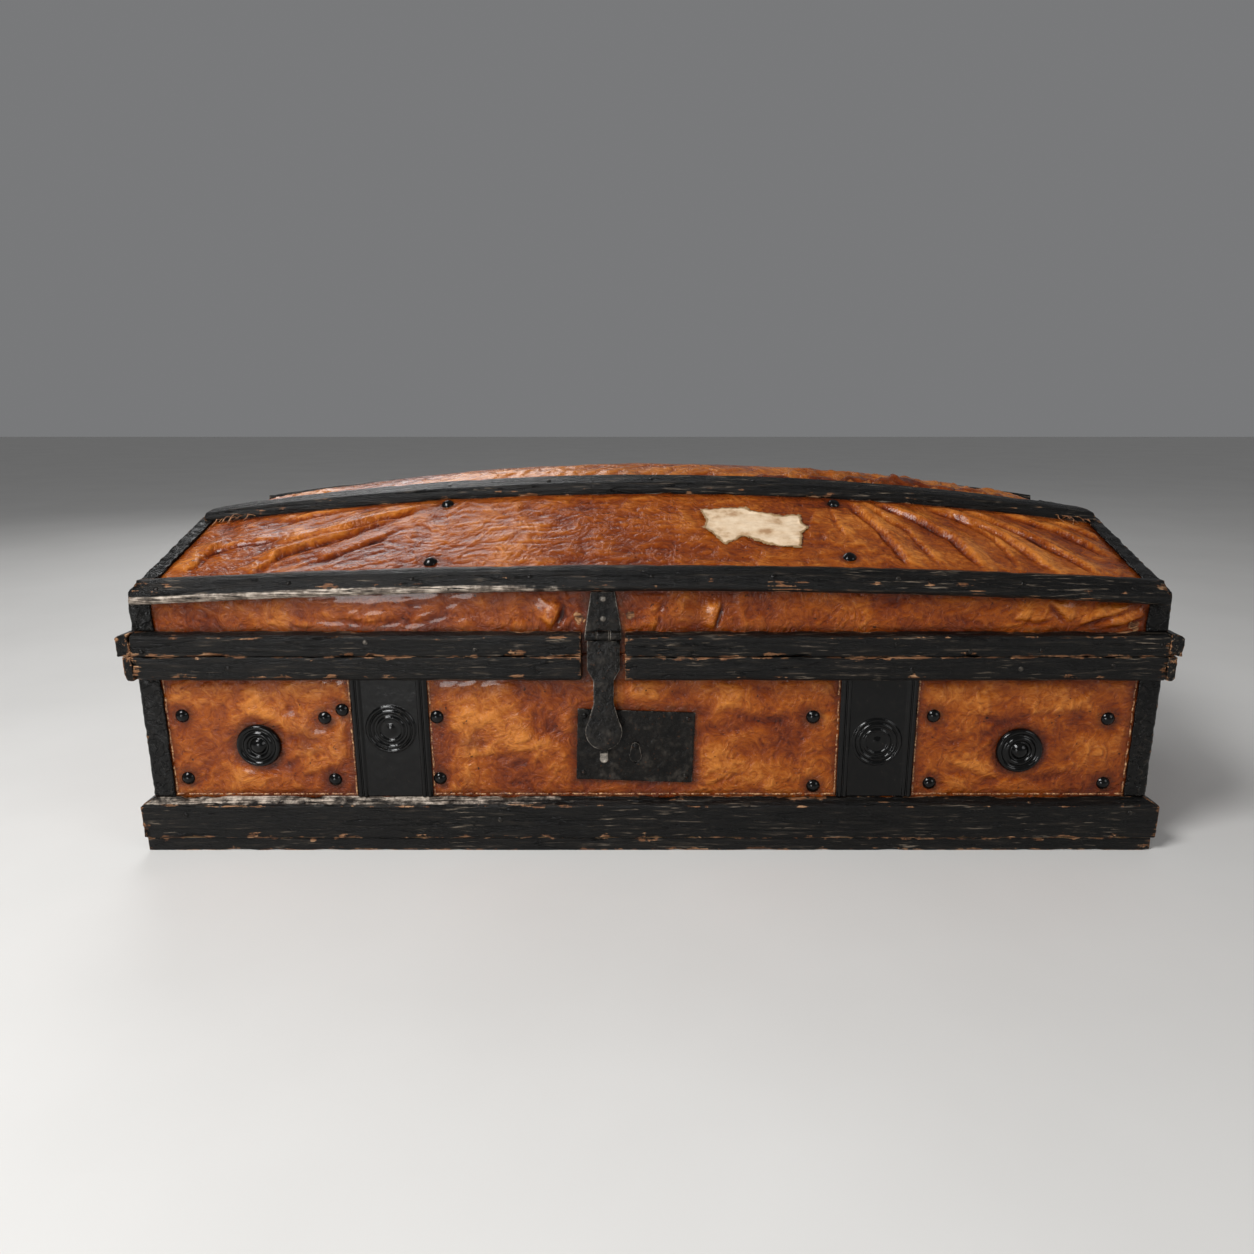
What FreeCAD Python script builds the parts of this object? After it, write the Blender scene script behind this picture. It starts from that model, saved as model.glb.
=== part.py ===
import FreeCAD, Part
import math
import os

# Travel trunk with a bowed lid: hide over boards, black wooden rails, slats and plinth, iron fittings.
# Millimetres. The origin is on the floor under the middle of the trunk, +Z is up and the front faces -Y.

# Boards and hide
case_length = 970.0
case_depth = 470.0
wall_height = 185.35
board = 14.0
floor_board = 14.0
floor_seam = 0.4
floor_inset = 2.0
floor_plank_count = 3
hide = 2.0

# Rails, plinth and corner strips
rail_depth = 13.0
rail_round = 2.5
body_rail_height = 23.5
body_end_rail_depth = 8.5
lid_rail_height = 20.0
lid_rail_crest = 2.0
lid_end_rail_depth = 13.0
plinth_height = 34.0
plinth_crest = 6.0
plinth_end_depth = 12.0
strip = 2.5
strip_width = 18.5

# Lid: heights of the boards' outer face over the lid's base at its two ends, and how far the middle bows up
parting_gap = 0.5
lid_board = 6.0
edge_height = 56.0
edge_bow = 14.0
shoulder_height = 106.0
shoulder_bow = 34.0
shoulder_half_depth = 78.0
crown_height = 111.0
crown_bow = 49.0
crown_station_shares = (-1.0, -0.67, -0.33, 0.0, 0.33, 0.67, 1.0)

# Slats and end bindings of the lid
slat_inset = 2.0
lower_slat_drop = 9.0
lower_slat_front = 12.0
lower_slat_round = 3.0
lower_slat_face = 12.0
lower_slat_ridge = 5.0
lower_slat_back = 13.0
upper_slat_thickness = 10.0
upper_slat_below = 12.0
upper_slat_above = 14.0
upper_slat_round = 4.0
upper_slat_end_cut = 9.0
binding = 2.4
binding_width = 14.0
binding_drop = 13.0

# Bands and bosses on the front
band = 2.0
band_width = 74.0
bead_share = 0.9
bead_offset_shares = (-0.93, -0.78, 0.78, 0.93)
band_place_shares = (-0.518, 0.455)
band_ring_height_shares = (0.574, 0.467)
band_ring_radii = (22.5, 18.0, 12.0)
boss = 2.5
boss_radius = 22.0
boss_dome_radius = 7.0
boss_dome_height = 4.5
boss_ring_shares = (0.88, 0.56)
boss_ring_share = 0.9
boss_left_shares = (0.479, 0.434)
boss_right_shares = (0.484, 0.393)

# Nails: places are shares of the room across and up the front's panels, and of the lid's slope
nail_clearance = 0.05
dome_nail_radius = 6.85
dome_nail_height = 4.2
dome_nail_shank = 1.8
dome_nail_length = 12.0
dome_nail_left_shares = ((0.052, 0.680), (0.880, 0.664), (0.040, 0.148), (0.910, 0.139), (0.984, 0.730))
dome_nail_middle_shares = ((0.002, 0.672), (0.002, 0.148), (0.951, 0.672), (0.959, 0.082))
dome_nail_right_shares = ((0.053, 0.680), (0.056, 0.107), (0.910, 0.656), (0.926, 0.107))
lid_nail_shares = ((-0.437, 0.13), (-0.445, 0.93), (0.403, 0.92), (0.400, 0.18))
lid_nail_length = 7.0
small_nail_radius = 3.0
small_nail_height = 1.6
small_nail_shank = 1.2
small_nail_length = 10.0

# Hasp, which turns on a pin in the lid rail's notch
hasp_place_share = -0.091
hasp = 2.5
hasp_barrel = 34.5
hasp_knuckle_share = 0.36
hasp_knuckle_radius = 4.5
hasp_pin_radius = 2.0
hasp_pin_rise = 18.2
hasp_running = 0.07
hasp_side_gap = 0.4
hasp_leaf_width = 22.5
hasp_leaf_reach = 42.0
hasp_arm_width = 31.0
hasp_arm_shoulder = 28.0
hasp_neck_width = 19.5
hasp_neck_flare = 10.0
hasp_paddle_radius = 17.75
hasp_tab_width = 8.0
hasp_tab_length = 13.0
hasp_rest_angle = 5.6
hasp_rivet_shares = (0.38, 0.84)
notch_width = 41.5
seat_gap = 0.3
skin_gap = 0.1

# Lock: plate, case in a mortise, bolt, staple, keyhole and its drop cover
lock_plate = 2.5
lock_plate_width = 114.0
lock_plate_height = 73.0
lock_plate_offset = 30.0
lock_plate_place_share = 0.4313
lock_plate_drop = 18.5
lock_plate_tilt = 2.0
lock_plate_margin = 7.0
mortise_gap = 0.2
lock_wall = 1.5
lock_case_left = 14.0
lock_case_right = 52.0
lock_case_above = 12.0
lock_case_below = 39.0
staple = 4.0
staple_height = 12.0
staple_eye_radius = 1.9
staple_eye_depth = 2.4
staple_tip = 1.3
slot_side_gap = 0.8
slot_end_gap = 1.6
bolt_nose_radius = 1.5
bolt_nose_length = 11.0
bolt_nose_gap = 1.0
bolt_length = 32.0
bolt_height = 8.0
bolt_depth = 5.4
bolt_talon_radius = 2.5
bolt_travel = 9.0
guide_rib = 2.0
key_room = 5.0
keyhole_offset = 30.0
keyhole_drop = 28.0
keyhole_radius = 2.2
keyhole_slot_width = 2.4
keyhole_slot_length = 8.0
cover = 1.5
cover_radius = 6.0
cover_ear_radius = 4.0
cover_hang = 10.0
cover_rivet_radius = 1.5
cover_rivet_head = 3.0

# Lid hinges on the back rails
hinge_place_share = 0.62
hinge_leaf = 2.0
hinge_length = 70.0
hinge_middle_share = 0.4
hinge_side_gap = 0.4
hinge_offset = 5.0
hinge_knuckle_radius = 4.5
hinge_pin_radius = 2.3
hinge_running = 0.07
hinge_seat = 0.02
hinge_leaf_height = 17.0
hinge_nail_shares = (-0.36, 0.0, 0.36)

# Drop handles on the ends
handle_plate = 2.5
handle_plate_length = 128.0
handle_plate_height = 26.0
handle_plate_share = 0.66
handle_ear_spacing = 100.0
handle_ear = 6.0
handle_ear_radius = 5.0
handle_rod_radius = 3.0
handle_running = 0.08
handle_stub = 5.0
handle_overhang = 6.0
handle_drop = 38.0
handle_bend = 14.0
handle_shoulder_bend = 5.0
handle_nail_shares = ((-0.44, -0.3), (-0.44, 0.3), (0.44, -0.3), (0.44, 0.3))

cut_overrun = 5.0

# Derived places
half_length = case_length / 2
half_depth = case_depth / 2
hide_x = half_length + hide
hide_y = half_depth + hide
front_y = hide_y + rail_depth
inner_x = half_length - board
inner_y = half_depth - board
plinth_x = hide_x + plinth_end_depth
body_top = floor_board + wall_height
lid_base = body_top + parting_gap
lid_rail_top = lid_base + lid_rail_height
lid_wall_line = lid_rail_top + lid_rail_crest
plinth_top = floor_board + plinth_height + plinth_crest
rail_foot = body_top - body_rail_height
panel_height = rail_foot - plinth_top
strip_y = hide_y + strip
strip_x = hide_x + strip
slat_x = half_length - slat_inset
hasp_x = hasp_place_share * half_length
hasp_pin_z = lid_base + hasp_pin_rise
hasp_pin_y = -(hide_y + seat_gap + hasp_knuckle_radius)
plate_face = -(hide_y + lock_plate)
arm_back = plate_face - seat_gap
arm_front = arm_back - hasp
plate_x = hasp_x + lock_plate_offset
plate_z = plinth_top + lock_plate_place_share * panel_height
staple_z = plate_z + lock_plate_drop
lock_left = hasp_x - lock_case_left
lock_right = hasp_x + lock_case_right
lock_low = staple_z - lock_case_below
lock_high = staple_z + lock_case_above
keyhole_x = hasp_x + keyhole_offset
keyhole_z = staple_z - keyhole_drop
cover_z = keyhole_z + cover_hang
hinge_y = front_y + hinge_offset
hinge_z = body_top + parting_gap / 2
handle_z = plinth_top + handle_plate_share * panel_height
handle_face = hide_x + handle_plate
handle_x = handle_face + handle_ear_radius


def V(x, y, z):
    return FreeCAD.Vector(x, y, z)


def box(x0, x1, y0, y1, z0, z1):
    return Part.makeBox(x1 - x0, y1 - y0, z1 - z0, V(x0, y0, z0))


def prism(points, along):
    """A flat outline pushed along a vector."""
    return Part.Face(Part.makePolygon(points + points[:1])).extrude(along)


def rod(start, end, radius):
    run = end.sub(start)
    return Part.makeCylinder(radius, run.Length, start, run)


def flip_x(shape):
    return shape.mirror(V(0, 0, 0), V(1, 0, 0))


def flip_y(shape):
    return shape.mirror(V(0, 0, 0), V(0, 1, 0))


def both_ends(shape):
    return [shape, flip_x(shape)]


def four_corners(shape):
    return both_ends(shape) + both_ends(flip_y(shape))


def fused(shapes):
    return shapes[0].multiFuse(shapes[1:]).removeSplitter()


def front_panels():
    """Left and right edges of the three hide panels between the corner strips and the bands."""
    left, right = [share * half_length for share in band_place_shares]
    half = band_width / 2
    return [(strip_width - hide_x, left - half), (left + half, right - half),
            (right + half, hide_x - strip_width)]


def panel_point(panel, shares, radius):
    """A place on a panel of the front hide for a round piece that stays clear of the panel's sides."""
    x0, x1 = front_panels()[panel]
    across_share, up_share = shares
    x = x0 + radius + across_share * (x1 - x0 - 2 * radius)
    return V(x, -hide_y, plinth_top + up_share * panel_height)


# Nails and rivets: a domed head on a short shank
def nail(place, out, radius, height, shank, length):
    ball = (radius ** 2 + height ** 2) / (2 * height)
    half_turn = math.asin(radius / ball) / 2
    on_ball = V(ball * math.sin(half_turn), 0, ball * math.cos(half_turn) - ball + height)
    arc = Part.Arc(V(radius, 0, 0), on_ball, V(0, 0, height))
    rim = Part.makeLine(V(0, 0, 0), V(radius, 0, 0))
    axis_line = Part.makeLine(V(0, 0, height), V(0, 0, 0))
    outline = Part.Face(Part.Wire([rim, arc.toShape(), axis_line]))
    head = outline.revolve(V(0, 0, 0), V(0, 0, 1), 360)
    body = head.fuse(Part.makeCylinder(shank, length, V(0, 0, -length)))
    body.Placement = FreeCAD.Placement(place, FreeCAD.Rotation(V(0, 0, 1), out))
    return body


def nail_hole(place, out, shank, length):
    """The hole that a nail's shank goes into, from a little outside its seat."""
    inward = V(-out.x, -out.y, -out.z).normalize()
    start = place.sub(inward * cut_overrun)
    depth = length + nail_clearance + cut_overrun
    return Part.makeCylinder(shank + nail_clearance, depth, start, inward)


FRONT = V(0, -1, 0)
BACK = V(0, 1, 0)
dome_nail_shares = (dome_nail_left_shares, dome_nail_middle_shares, dome_nail_right_shares)
dome_nail_places = [panel_point(panel, shares, dome_nail_radius)
                    for panel, row in enumerate(dome_nail_shares) for shares in row]
boss_places = [panel_point(0, boss_left_shares, boss_radius), panel_point(2, boss_right_shares, boss_radius)]


def dome_nails():
    return [nail(p, FRONT, dome_nail_radius, dome_nail_height, dome_nail_shank, dome_nail_length)
            for p in dome_nail_places]


def front_nail_holes():
    places = dome_nail_places + boss_places
    holes = [nail_hole(p, FRONT, dome_nail_shank, dome_nail_length) for p in places]
    small = [nail_hole(p, FRONT, small_nail_shank, small_nail_length) for p in plate_nail_places()]
    return holes + small


# Lock plate and what sits on it
def tilted(x, z):
    """A place on the lock plate's face, from its own turned axes."""
    turn = math.radians(lock_plate_tilt)
    dx = x * math.cos(turn) + z * math.sin(turn)
    dz = z * math.cos(turn) - x * math.sin(turn)
    return V(plate_x + dx, plate_face, plate_z + dz)


def plate_nail_places():
    x = lock_plate_width / 2 - lock_plate_margin
    z = lock_plate_height / 2 - lock_plate_margin
    return [tilted(-x, z), tilted(x, z), tilted(-x, -z), tilted(x, -z)]


def lock_plate_shape():
    x = lock_plate_width / 2
    z = lock_plate_height / 2
    outline = [tilted(-x, -z), tilted(x, -z), tilted(x, z), tilted(-x, z)]
    plate = prism(outline, V(0, lock_plate, 0))
    y0 = plate_face - cut_overrun
    y1 = -hide_y + cut_overrun
    slot_x = staple / 2 + slot_side_gap
    slot_z = staple_height / 2 + slot_end_gap
    slot = box(hasp_x - slot_x, hasp_x + slot_x, y0, y1, staple_z - slot_z, staple_z + slot_z)
    key = rod(V(keyhole_x, y0, keyhole_z), V(keyhole_x, y1, keyhole_z), keyhole_radius)
    half_slot = keyhole_slot_width / 2
    key_slot = box(keyhole_x - half_slot, keyhole_x + half_slot, y0, y1,
                   keyhole_z - keyhole_slot_length, keyhole_z)
    rivet = rod(V(keyhole_x, y0, cover_z), V(keyhole_x, y1, cover_z), cover_rivet_radius + nail_clearance)
    holes = [nail_hole(p, FRONT, small_nail_shank, small_nail_length) for p in plate_nail_places()]
    return plate.cut([slot, key, key_slot, rivet] + holes)


def lock_plate_nails():
    return [nail(p, FRONT, small_nail_radius, small_nail_height, small_nail_shank, small_nail_length)
            for p in plate_nail_places()]


def mortise(gap):
    return box(lock_left - gap, lock_right + gap, -hide_y - cut_overrun, -inner_y + cut_overrun,
               lock_low - gap, lock_high + gap)


bolt_left = hasp_x + staple / 2 + bolt_nose_gap
bar_left = bolt_left + bolt_nose_length
bar_right = bar_left + bolt_length
bolt_front = -hide_y + seat_gap
bolt_back = bolt_front + bolt_depth
bolt_y = -hide_y + staple_eye_depth


def lock_case():
    """An iron box let into the front board, open to the plate; a shelf and ribs guide the bolt."""
    shell = box(lock_left, lock_right, -hide_y, -inner_y, lock_low, lock_high)
    hollow = box(lock_left + lock_wall, lock_right - lock_wall, -hide_y - cut_overrun, -inner_y - lock_wall,
                 lock_low + lock_wall, lock_high - lock_wall)
    x0 = bar_left - bolt_travel
    x1 = bar_right
    low = staple_z - bolt_height / 2 - seat_gap
    high = staple_z + bolt_height / 2 + seat_gap
    back = -inner_y - lock_wall
    shelf = box(x0, x1, bolt_back + seat_gap, back, low, high)
    upper = box(x0, x1, bolt_front, back, high, high + guide_rib)
    lower_left = box(x0, keyhole_x - key_room, bolt_front, back, low - guide_rib, low)
    lower_right = box(keyhole_x + key_room, x1, bolt_front, back, low - guide_rib, low)
    return fused([shell.cut(hollow), shelf, upper, lower_left, lower_right])


def lock_bolt():
    z0 = staple_z - bolt_height / 2
    bar = box(bar_left, bar_right, bolt_front, bolt_back, z0, z0 + bolt_height)
    nose_root = bar_left + bolt_nose_radius
    nose = rod(V(bolt_left, bolt_y, staple_z), V(nose_root, bolt_y, staple_z), bolt_nose_radius)
    talon_x = keyhole_x + bolt_travel / 2
    talon = rod(V(talon_x, bolt_front - cut_overrun, z0), V(talon_x, bolt_back + cut_overrun, z0),
                bolt_talon_radius)
    return bar.cut(talon).fuse(nose)


cover_back = plate_face - seat_gap
cover_front = cover_back - cover


def keyhole_cover():
    """A pear-shaped drop that hangs over the keyhole."""
    drop = rod(V(keyhole_x, cover_back, keyhole_z), V(keyhole_x, cover_front, keyhole_z), cover_radius)
    ear = rod(V(keyhole_x, cover_back, cover_z), V(keyhole_x, cover_front, cover_z), cover_ear_radius)
    web = prism([V(keyhole_x - cover_radius, cover_back, keyhole_z),
                 V(keyhole_x + cover_radius, cover_back, keyhole_z),
                 V(keyhole_x + cover_ear_radius, cover_back, cover_z),
                 V(keyhole_x - cover_ear_radius, cover_back, cover_z)], V(0, -cover, 0))
    hole = rod(V(keyhole_x, cover_back + cut_overrun, cover_z),
               V(keyhole_x, cover_front - cut_overrun, cover_z), cover_rivet_radius + hasp_running)
    return fused([drop, ear, web]).cut(hole)


def cover_rivet():
    head_seat = cover_front - seat_gap
    shank = rod(V(keyhole_x, -hide_y, cover_z), V(keyhole_x, head_seat, cover_z), cover_rivet_radius)
    head = nail(V(keyhole_x, head_seat, cover_z), FRONT, cover_rivet_head, cover, cover_rivet_radius, cover)
    return shank.fuse(head)


# Hasp: leaf on the lid, pin, and the arm that swings
knuckle_half = hasp_knuckle_share * hasp_barrel / 2


def hasp_tube(x0, x1):
    return rod(V(x0, hasp_pin_y, hasp_pin_z), V(x1, hasp_pin_y, hasp_pin_z), hasp_knuckle_radius)


def hasp_bore(radius):
    reach = hasp_barrel / 2 + cut_overrun
    return rod(V(hasp_x - reach, hasp_pin_y, hasp_pin_z), V(hasp_x + reach, hasp_pin_y, hasp_pin_z), radius)


leaf_face = -(hide_y + hasp)
leaf_top = hasp_pin_z + hasp_leaf_reach
hasp_rivet_places = [V(hasp_x, leaf_face, hasp_pin_z + s * hasp_leaf_reach) for s in hasp_rivet_shares]


def hasp_leaf():
    wide = hasp_barrel / 2
    narrow = hasp_leaf_width / 2
    foot = hasp_pin_z + hasp_knuckle_radius
    plate = prism([V(hasp_x - wide, leaf_face, foot), V(hasp_x + wide, leaf_face, foot),
                   V(hasp_x + narrow, leaf_face, leaf_top),
                   V(hasp_x - narrow, leaf_face, leaf_top)], V(0, hasp, 0))
    inner = knuckle_half + hasp_side_gap
    pieces = [plate]
    for x0, x1 in ((hasp_x - wide, hasp_x - inner), (hasp_x + inner, hasp_x + wide)):
        web = box(x0, x1, hasp_pin_y, -hide_y, hasp_pin_z + hasp_pin_radius + hasp_running, foot)
        pieces += [hasp_tube(x0, x1), web]
    holes = [nail_hole(p, FRONT, small_nail_shank, small_nail_length) for p in hasp_rivet_places]
    return fused(pieces).cut([hasp_bore(hasp_pin_radius + hinge_seat)] + holes)


def hasp_pin():
    half = hasp_barrel / 2
    return rod(V(hasp_x - half, hasp_pin_y, hasp_pin_z), V(hasp_x + half, hasp_pin_y, hasp_pin_z),
               hasp_pin_radius)


def hasp_rivets():
    return [nail(p, FRONT, small_nail_radius, small_nail_height, small_nail_shank, small_nail_length)
            for p in hasp_rivet_places]


def swung_out(shape):
    """The hasp is drawn shut and then turned to its resting place, just clear of the lock plate."""
    turned = shape.copy()
    turned.rotate(V(hasp_x, hasp_pin_y, hasp_pin_z), V(-1, 0, 0), hasp_rest_angle)
    return turned


def hasp_arm():
    thick = V(0, hasp, 0)
    top = hasp_pin_z - hasp_knuckle_radius - seat_gap
    shoulder = top - hasp_arm_shoulder
    paddle_top = staple_z + hasp_paddle_radius
    half = hasp_arm_width / 2
    neck = hasp_neck_width / 2
    plate = prism([V(hasp_x - half, arm_front, top), V(hasp_x + half, arm_front, top),
                   V(hasp_x + half, arm_front, shoulder),
                   V(hasp_x + neck, arm_front, shoulder - hasp_neck_flare),
                   V(hasp_x + neck, arm_front, paddle_top + hasp_neck_flare),
                   V(hasp_x + hasp_paddle_radius, arm_front, staple_z),
                   V(hasp_x - hasp_paddle_radius, arm_front, staple_z),
                   V(hasp_x - neck, arm_front, paddle_top + hasp_neck_flare),
                   V(hasp_x - neck, arm_front, shoulder - hasp_neck_flare),
                   V(hasp_x - half, arm_front, shoulder)], thick)
    paddle = rod(V(hasp_x, arm_front, staple_z), V(hasp_x, arm_back, staple_z), hasp_paddle_radius)
    tab = hasp_tab_width / 2
    tab_end = staple_z - hasp_paddle_radius - hasp_tab_length + tab
    finger = box(hasp_x - tab, hasp_x + tab, arm_front, arm_back, tab_end, staple_z)
    tip = rod(V(hasp_x, arm_front, tab_end), V(hasp_x, arm_back, tab_end), tab)
    root = box(hasp_x - knuckle_half, hasp_x + knuckle_half, arm_front, arm_back,
               top, hasp_pin_z - hasp_pin_radius)
    tube = hasp_tube(hasp_x - knuckle_half, hasp_x + knuckle_half)
    arm = fused([plate, paddle, finger, tip, root, tube])
    return swung_out(arm.cut(hasp_bore(hasp_pin_radius + hasp_running)))


def hasp_staple():
    """The eye behind the paddle that the bolt passes through."""
    eye_y = -hide_y + staple_eye_depth
    tip_y = eye_y + staple_eye_radius + staple_tip
    half = staple / 2
    tall = staple_height / 2
    reach = half + cut_overrun
    block = box(hasp_x - half, hasp_x + half, arm_back, tip_y, staple_z - tall, staple_z + tall)
    eye = rod(V(hasp_x - reach, eye_y, staple_z), V(hasp_x + reach, eye_y, staple_z), staple_eye_radius)
    return swung_out(block.cut(eye))


# Body of the trunk
def bottom_boards():
    reach_x = plinth_x - floor_inset
    reach_y = front_y - floor_inset
    plank = (2 * reach_y - (floor_plank_count - 1) * floor_seam) / floor_plank_count
    planks = []
    for i in range(floor_plank_count):
        y0 = -reach_y + i * (plank + floor_seam)
        planks.append(box(-reach_x, reach_x, y0, y0 + plank, 0, floor_board))
    return planks


def front_board():
    wall = box(-half_length, half_length, -half_depth, -inner_y, floor_board, body_top)
    return wall.cut([mortise(mortise_gap)] + front_nail_holes())


def back_board():
    return box(-half_length, half_length, inner_y, half_depth, floor_board, body_top)


def handle_nail_places():
    return [V(handle_face, y * handle_plate_length, handle_z + z * handle_plate_height)
            for y, z in handle_nail_shares]


def handle_nail_holes():
    return [nail_hole(p, V(1, 0, 0), small_nail_shank, small_nail_length) for p in handle_nail_places()]


def right_end_board():
    return box(inner_x, half_length, -inner_y, inner_y, floor_board, body_top).cut(handle_nail_holes())


def front_hide():
    skin = box(-hide_x, hide_x, -hide_y, -half_depth, floor_board, body_top)
    return skin.cut([mortise(mortise_gap)] + front_nail_holes())


def back_hide():
    return box(-hide_x, hide_x, half_depth, hide_y, floor_board, body_top)


def end_hides():
    skin = box(half_length, hide_x, -half_depth, half_depth, floor_board, body_top)
    return both_ends(skin.cut(handle_nail_holes()))


def mitred_plinth(depth, wall, run_wall, run_depth):
    """One plinth length as (out, along, up) sections at its two mitred ends."""
    ends = []
    for side in (-1, 1):
        inner = side * run_wall
        outer = side * (run_wall + run_depth)
        ends.append([(wall, inner, floor_board), (wall + depth, outer, floor_board),
                     (wall + depth, outer, floor_board + plinth_height), (wall, inner, plinth_top)])
    return ends


def plinth_solid(ends, place):
    first, last = [[place(*p) for p in end] for end in ends]
    outlines = [first, last]
    for i in range(len(first)):
        outlines.append([first[i - 1], first[i], last[i], last[i - 1]])
    faces = [Part.Face(Part.makePolygon(points + points[:1])) for points in outlines]
    solid = Part.Solid(Part.Shell(faces))
    if solid.Volume < 0:
        solid.reverse()
    return solid


def front_plinth():
    ends = mitred_plinth(rail_depth, hide_y, hide_x, plinth_end_depth)
    return plinth_solid(ends, lambda out, along, up: V(along, -out, up))


def end_plinths():
    ends = mitred_plinth(plinth_end_depth, hide_x, hide_y, rail_depth)
    return both_ends(plinth_solid(ends, lambda out, along, up: V(out, along, up)))


def notch():
    """Room for the hasp, cut right through the two front rails to the hide."""
    half = notch_width / 2
    return box(hasp_x - half, hasp_x + half, -front_y - cut_overrun, -hide_y, rail_foot - cut_overrun,
               lid_wall_line + cut_overrun)


def body_rail_outline(wall, depth):
    """Section of a body rail as (out, up): a flat strip with its lower outer edge rounded off."""
    return [(wall, rail_foot), (wall + depth - rail_round, rail_foot), (wall + depth, rail_foot + rail_round),
            (wall + depth, body_top), (wall, body_top)]


def lid_rail_outline(wall, depth):
    """Section of a lid rail as (out, up): the top edge is bevelled and rises to the wall."""
    return [(wall, lid_base), (wall + depth, lid_base), (wall + depth, lid_rail_top - rail_round),
            (wall + depth - rail_round, lid_rail_top), (wall, lid_wall_line)]


def front_rail(outline):
    return prism([V(-hide_x, -out, up) for out, up in outline], V(2 * hide_x, 0, 0))


def end_rails(outline):
    return both_ends(prism([V(out, -front_y, up) for out, up in outline], V(0, 2 * front_y, 0)))


def hinge_places():
    return [-hinge_place_share * half_length, hinge_place_share * half_length]


def hinge_nail_places(z):
    y = front_y + hinge_leaf
    return [V(x + s * hinge_length, y, z) for x in hinge_places() for s in hinge_nail_shares]


body_leaf_z = hinge_z - hinge_knuckle_radius - hinge_leaf_height / 2
lid_leaf_z = hinge_z + hinge_knuckle_radius + hinge_leaf_height / 2


def hinge_nails(z):
    return [nail(p, BACK, small_nail_radius, small_nail_height, small_nail_shank, small_nail_length)
            for p in hinge_nail_places(z)]


def hinge_nail_holes(z):
    return [nail_hole(p, BACK, small_nail_shank, small_nail_length) for p in hinge_nail_places(z)]


def hinge_leaf_solid(spans, leaf_span, side, bore):
    """Knuckles joined by a web to a flat leaf on the rail; side is 1 above the axis and -1 below it."""
    near = hinge_z + side * hinge_knuckle_radius
    far = near + side * hinge_leaf_height
    web = hinge_z + side * (hinge_pin_radius + hinge_running)
    pieces = [box(leaf_span[0], leaf_span[1], front_y, front_y + hinge_leaf, min(near, far), max(near, far))]
    for x0, x1 in spans:
        pieces.append(rod(V(x0, hinge_y, hinge_z), V(x1, hinge_y, hinge_z), hinge_knuckle_radius))
        pieces.append(box(x0, x1, front_y, hinge_y, min(web, near), max(web, near)))
    hole = rod(V(leaf_span[0] - cut_overrun, hinge_y, hinge_z),
               V(leaf_span[1] + cut_overrun, hinge_y, hinge_z), bore)
    return fused(pieces).cut(hole)


def hinge_body_leaves():
    leaves = []
    for x in hinge_places():
        half = hinge_length / 2
        inner = hinge_middle_share * hinge_length / 2 + hinge_side_gap
        spans = ((x - half, x - inner), (x + inner, x + half))
        leaf = hinge_leaf_solid(spans, (x - half, x + half), -1, hinge_pin_radius + hinge_seat)
        leaves.append(leaf.cut(hinge_nail_holes(body_leaf_z)))
    return leaves


def hinge_lid_leaves():
    leaves = []
    for x in hinge_places():
        half = hinge_length / 2
        inner = hinge_middle_share * hinge_length / 2
        bore = hinge_pin_radius + hinge_running
        leaf = hinge_leaf_solid(((x - inner, x + inner),), (x - half, x + half), 1, bore)
        leaves.append(leaf.cut(hinge_nail_holes(lid_leaf_z)))
    return leaves


def hinge_pins():
    half = hinge_length / 2
    return [rod(V(x - half, hinge_y, hinge_z), V(x + half, hinge_y, hinge_z), hinge_pin_radius)
            for x in hinge_places()]


def corner_angle(z0, z1):
    """An upright L strip folded round one corner of the hide."""
    points = [(hide_x - strip_width, hide_y), (hide_x, hide_y), (hide_x, hide_y - strip_width),
              (strip_x, hide_y - strip_width), (strip_x, strip_y), (hide_x - strip_width, strip_y)]
    return prism([V(x, -y, z0) for x, y in points], V(0, 0, z1 - z0))


def front_bands():
    """Pressed iron bands: a plate with double beads along its sides and rings round one place."""
    bands = []
    bead = band * bead_share
    face = -(hide_y + band)
    for place, ring_share in zip(band_place_shares, band_ring_height_shares):
        x = place * half_length
        plate = box(x - band_width / 2, x + band_width / 2, face, -hide_y, plinth_top, rail_foot)
        pieces = [plate]
        for s in bead_offset_shares:
            bead_x = x + s * band_width / 2
            pieces.append(rod(V(bead_x, face, plinth_top), V(bead_x, face, rail_foot), bead))
        ring_z = plinth_top + ring_share * panel_height
        for radius in band_ring_radii:
            pieces.append(Part.makeTorus(radius, bead, V(x, face, ring_z), FRONT))
        bands.append(fused(pieces))
    return bands


def bosses():
    """Turned discs with two raised rings and a domed middle, each on a shank."""
    discs = []
    for place in boss_places:
        face = place + FRONT * boss
        pieces = [Part.makeCylinder(boss_radius, boss, place, FRONT)]
        for s in boss_ring_shares:
            pieces.append(Part.makeTorus(s * boss_radius, boss * boss_ring_share, face, FRONT))
        shank_length = dome_nail_length + boss
        pieces.append(nail(face, FRONT, boss_dome_radius, boss_dome_height, dome_nail_shank, shank_length))
        discs.append(fused(pieces))
    return discs


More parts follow.
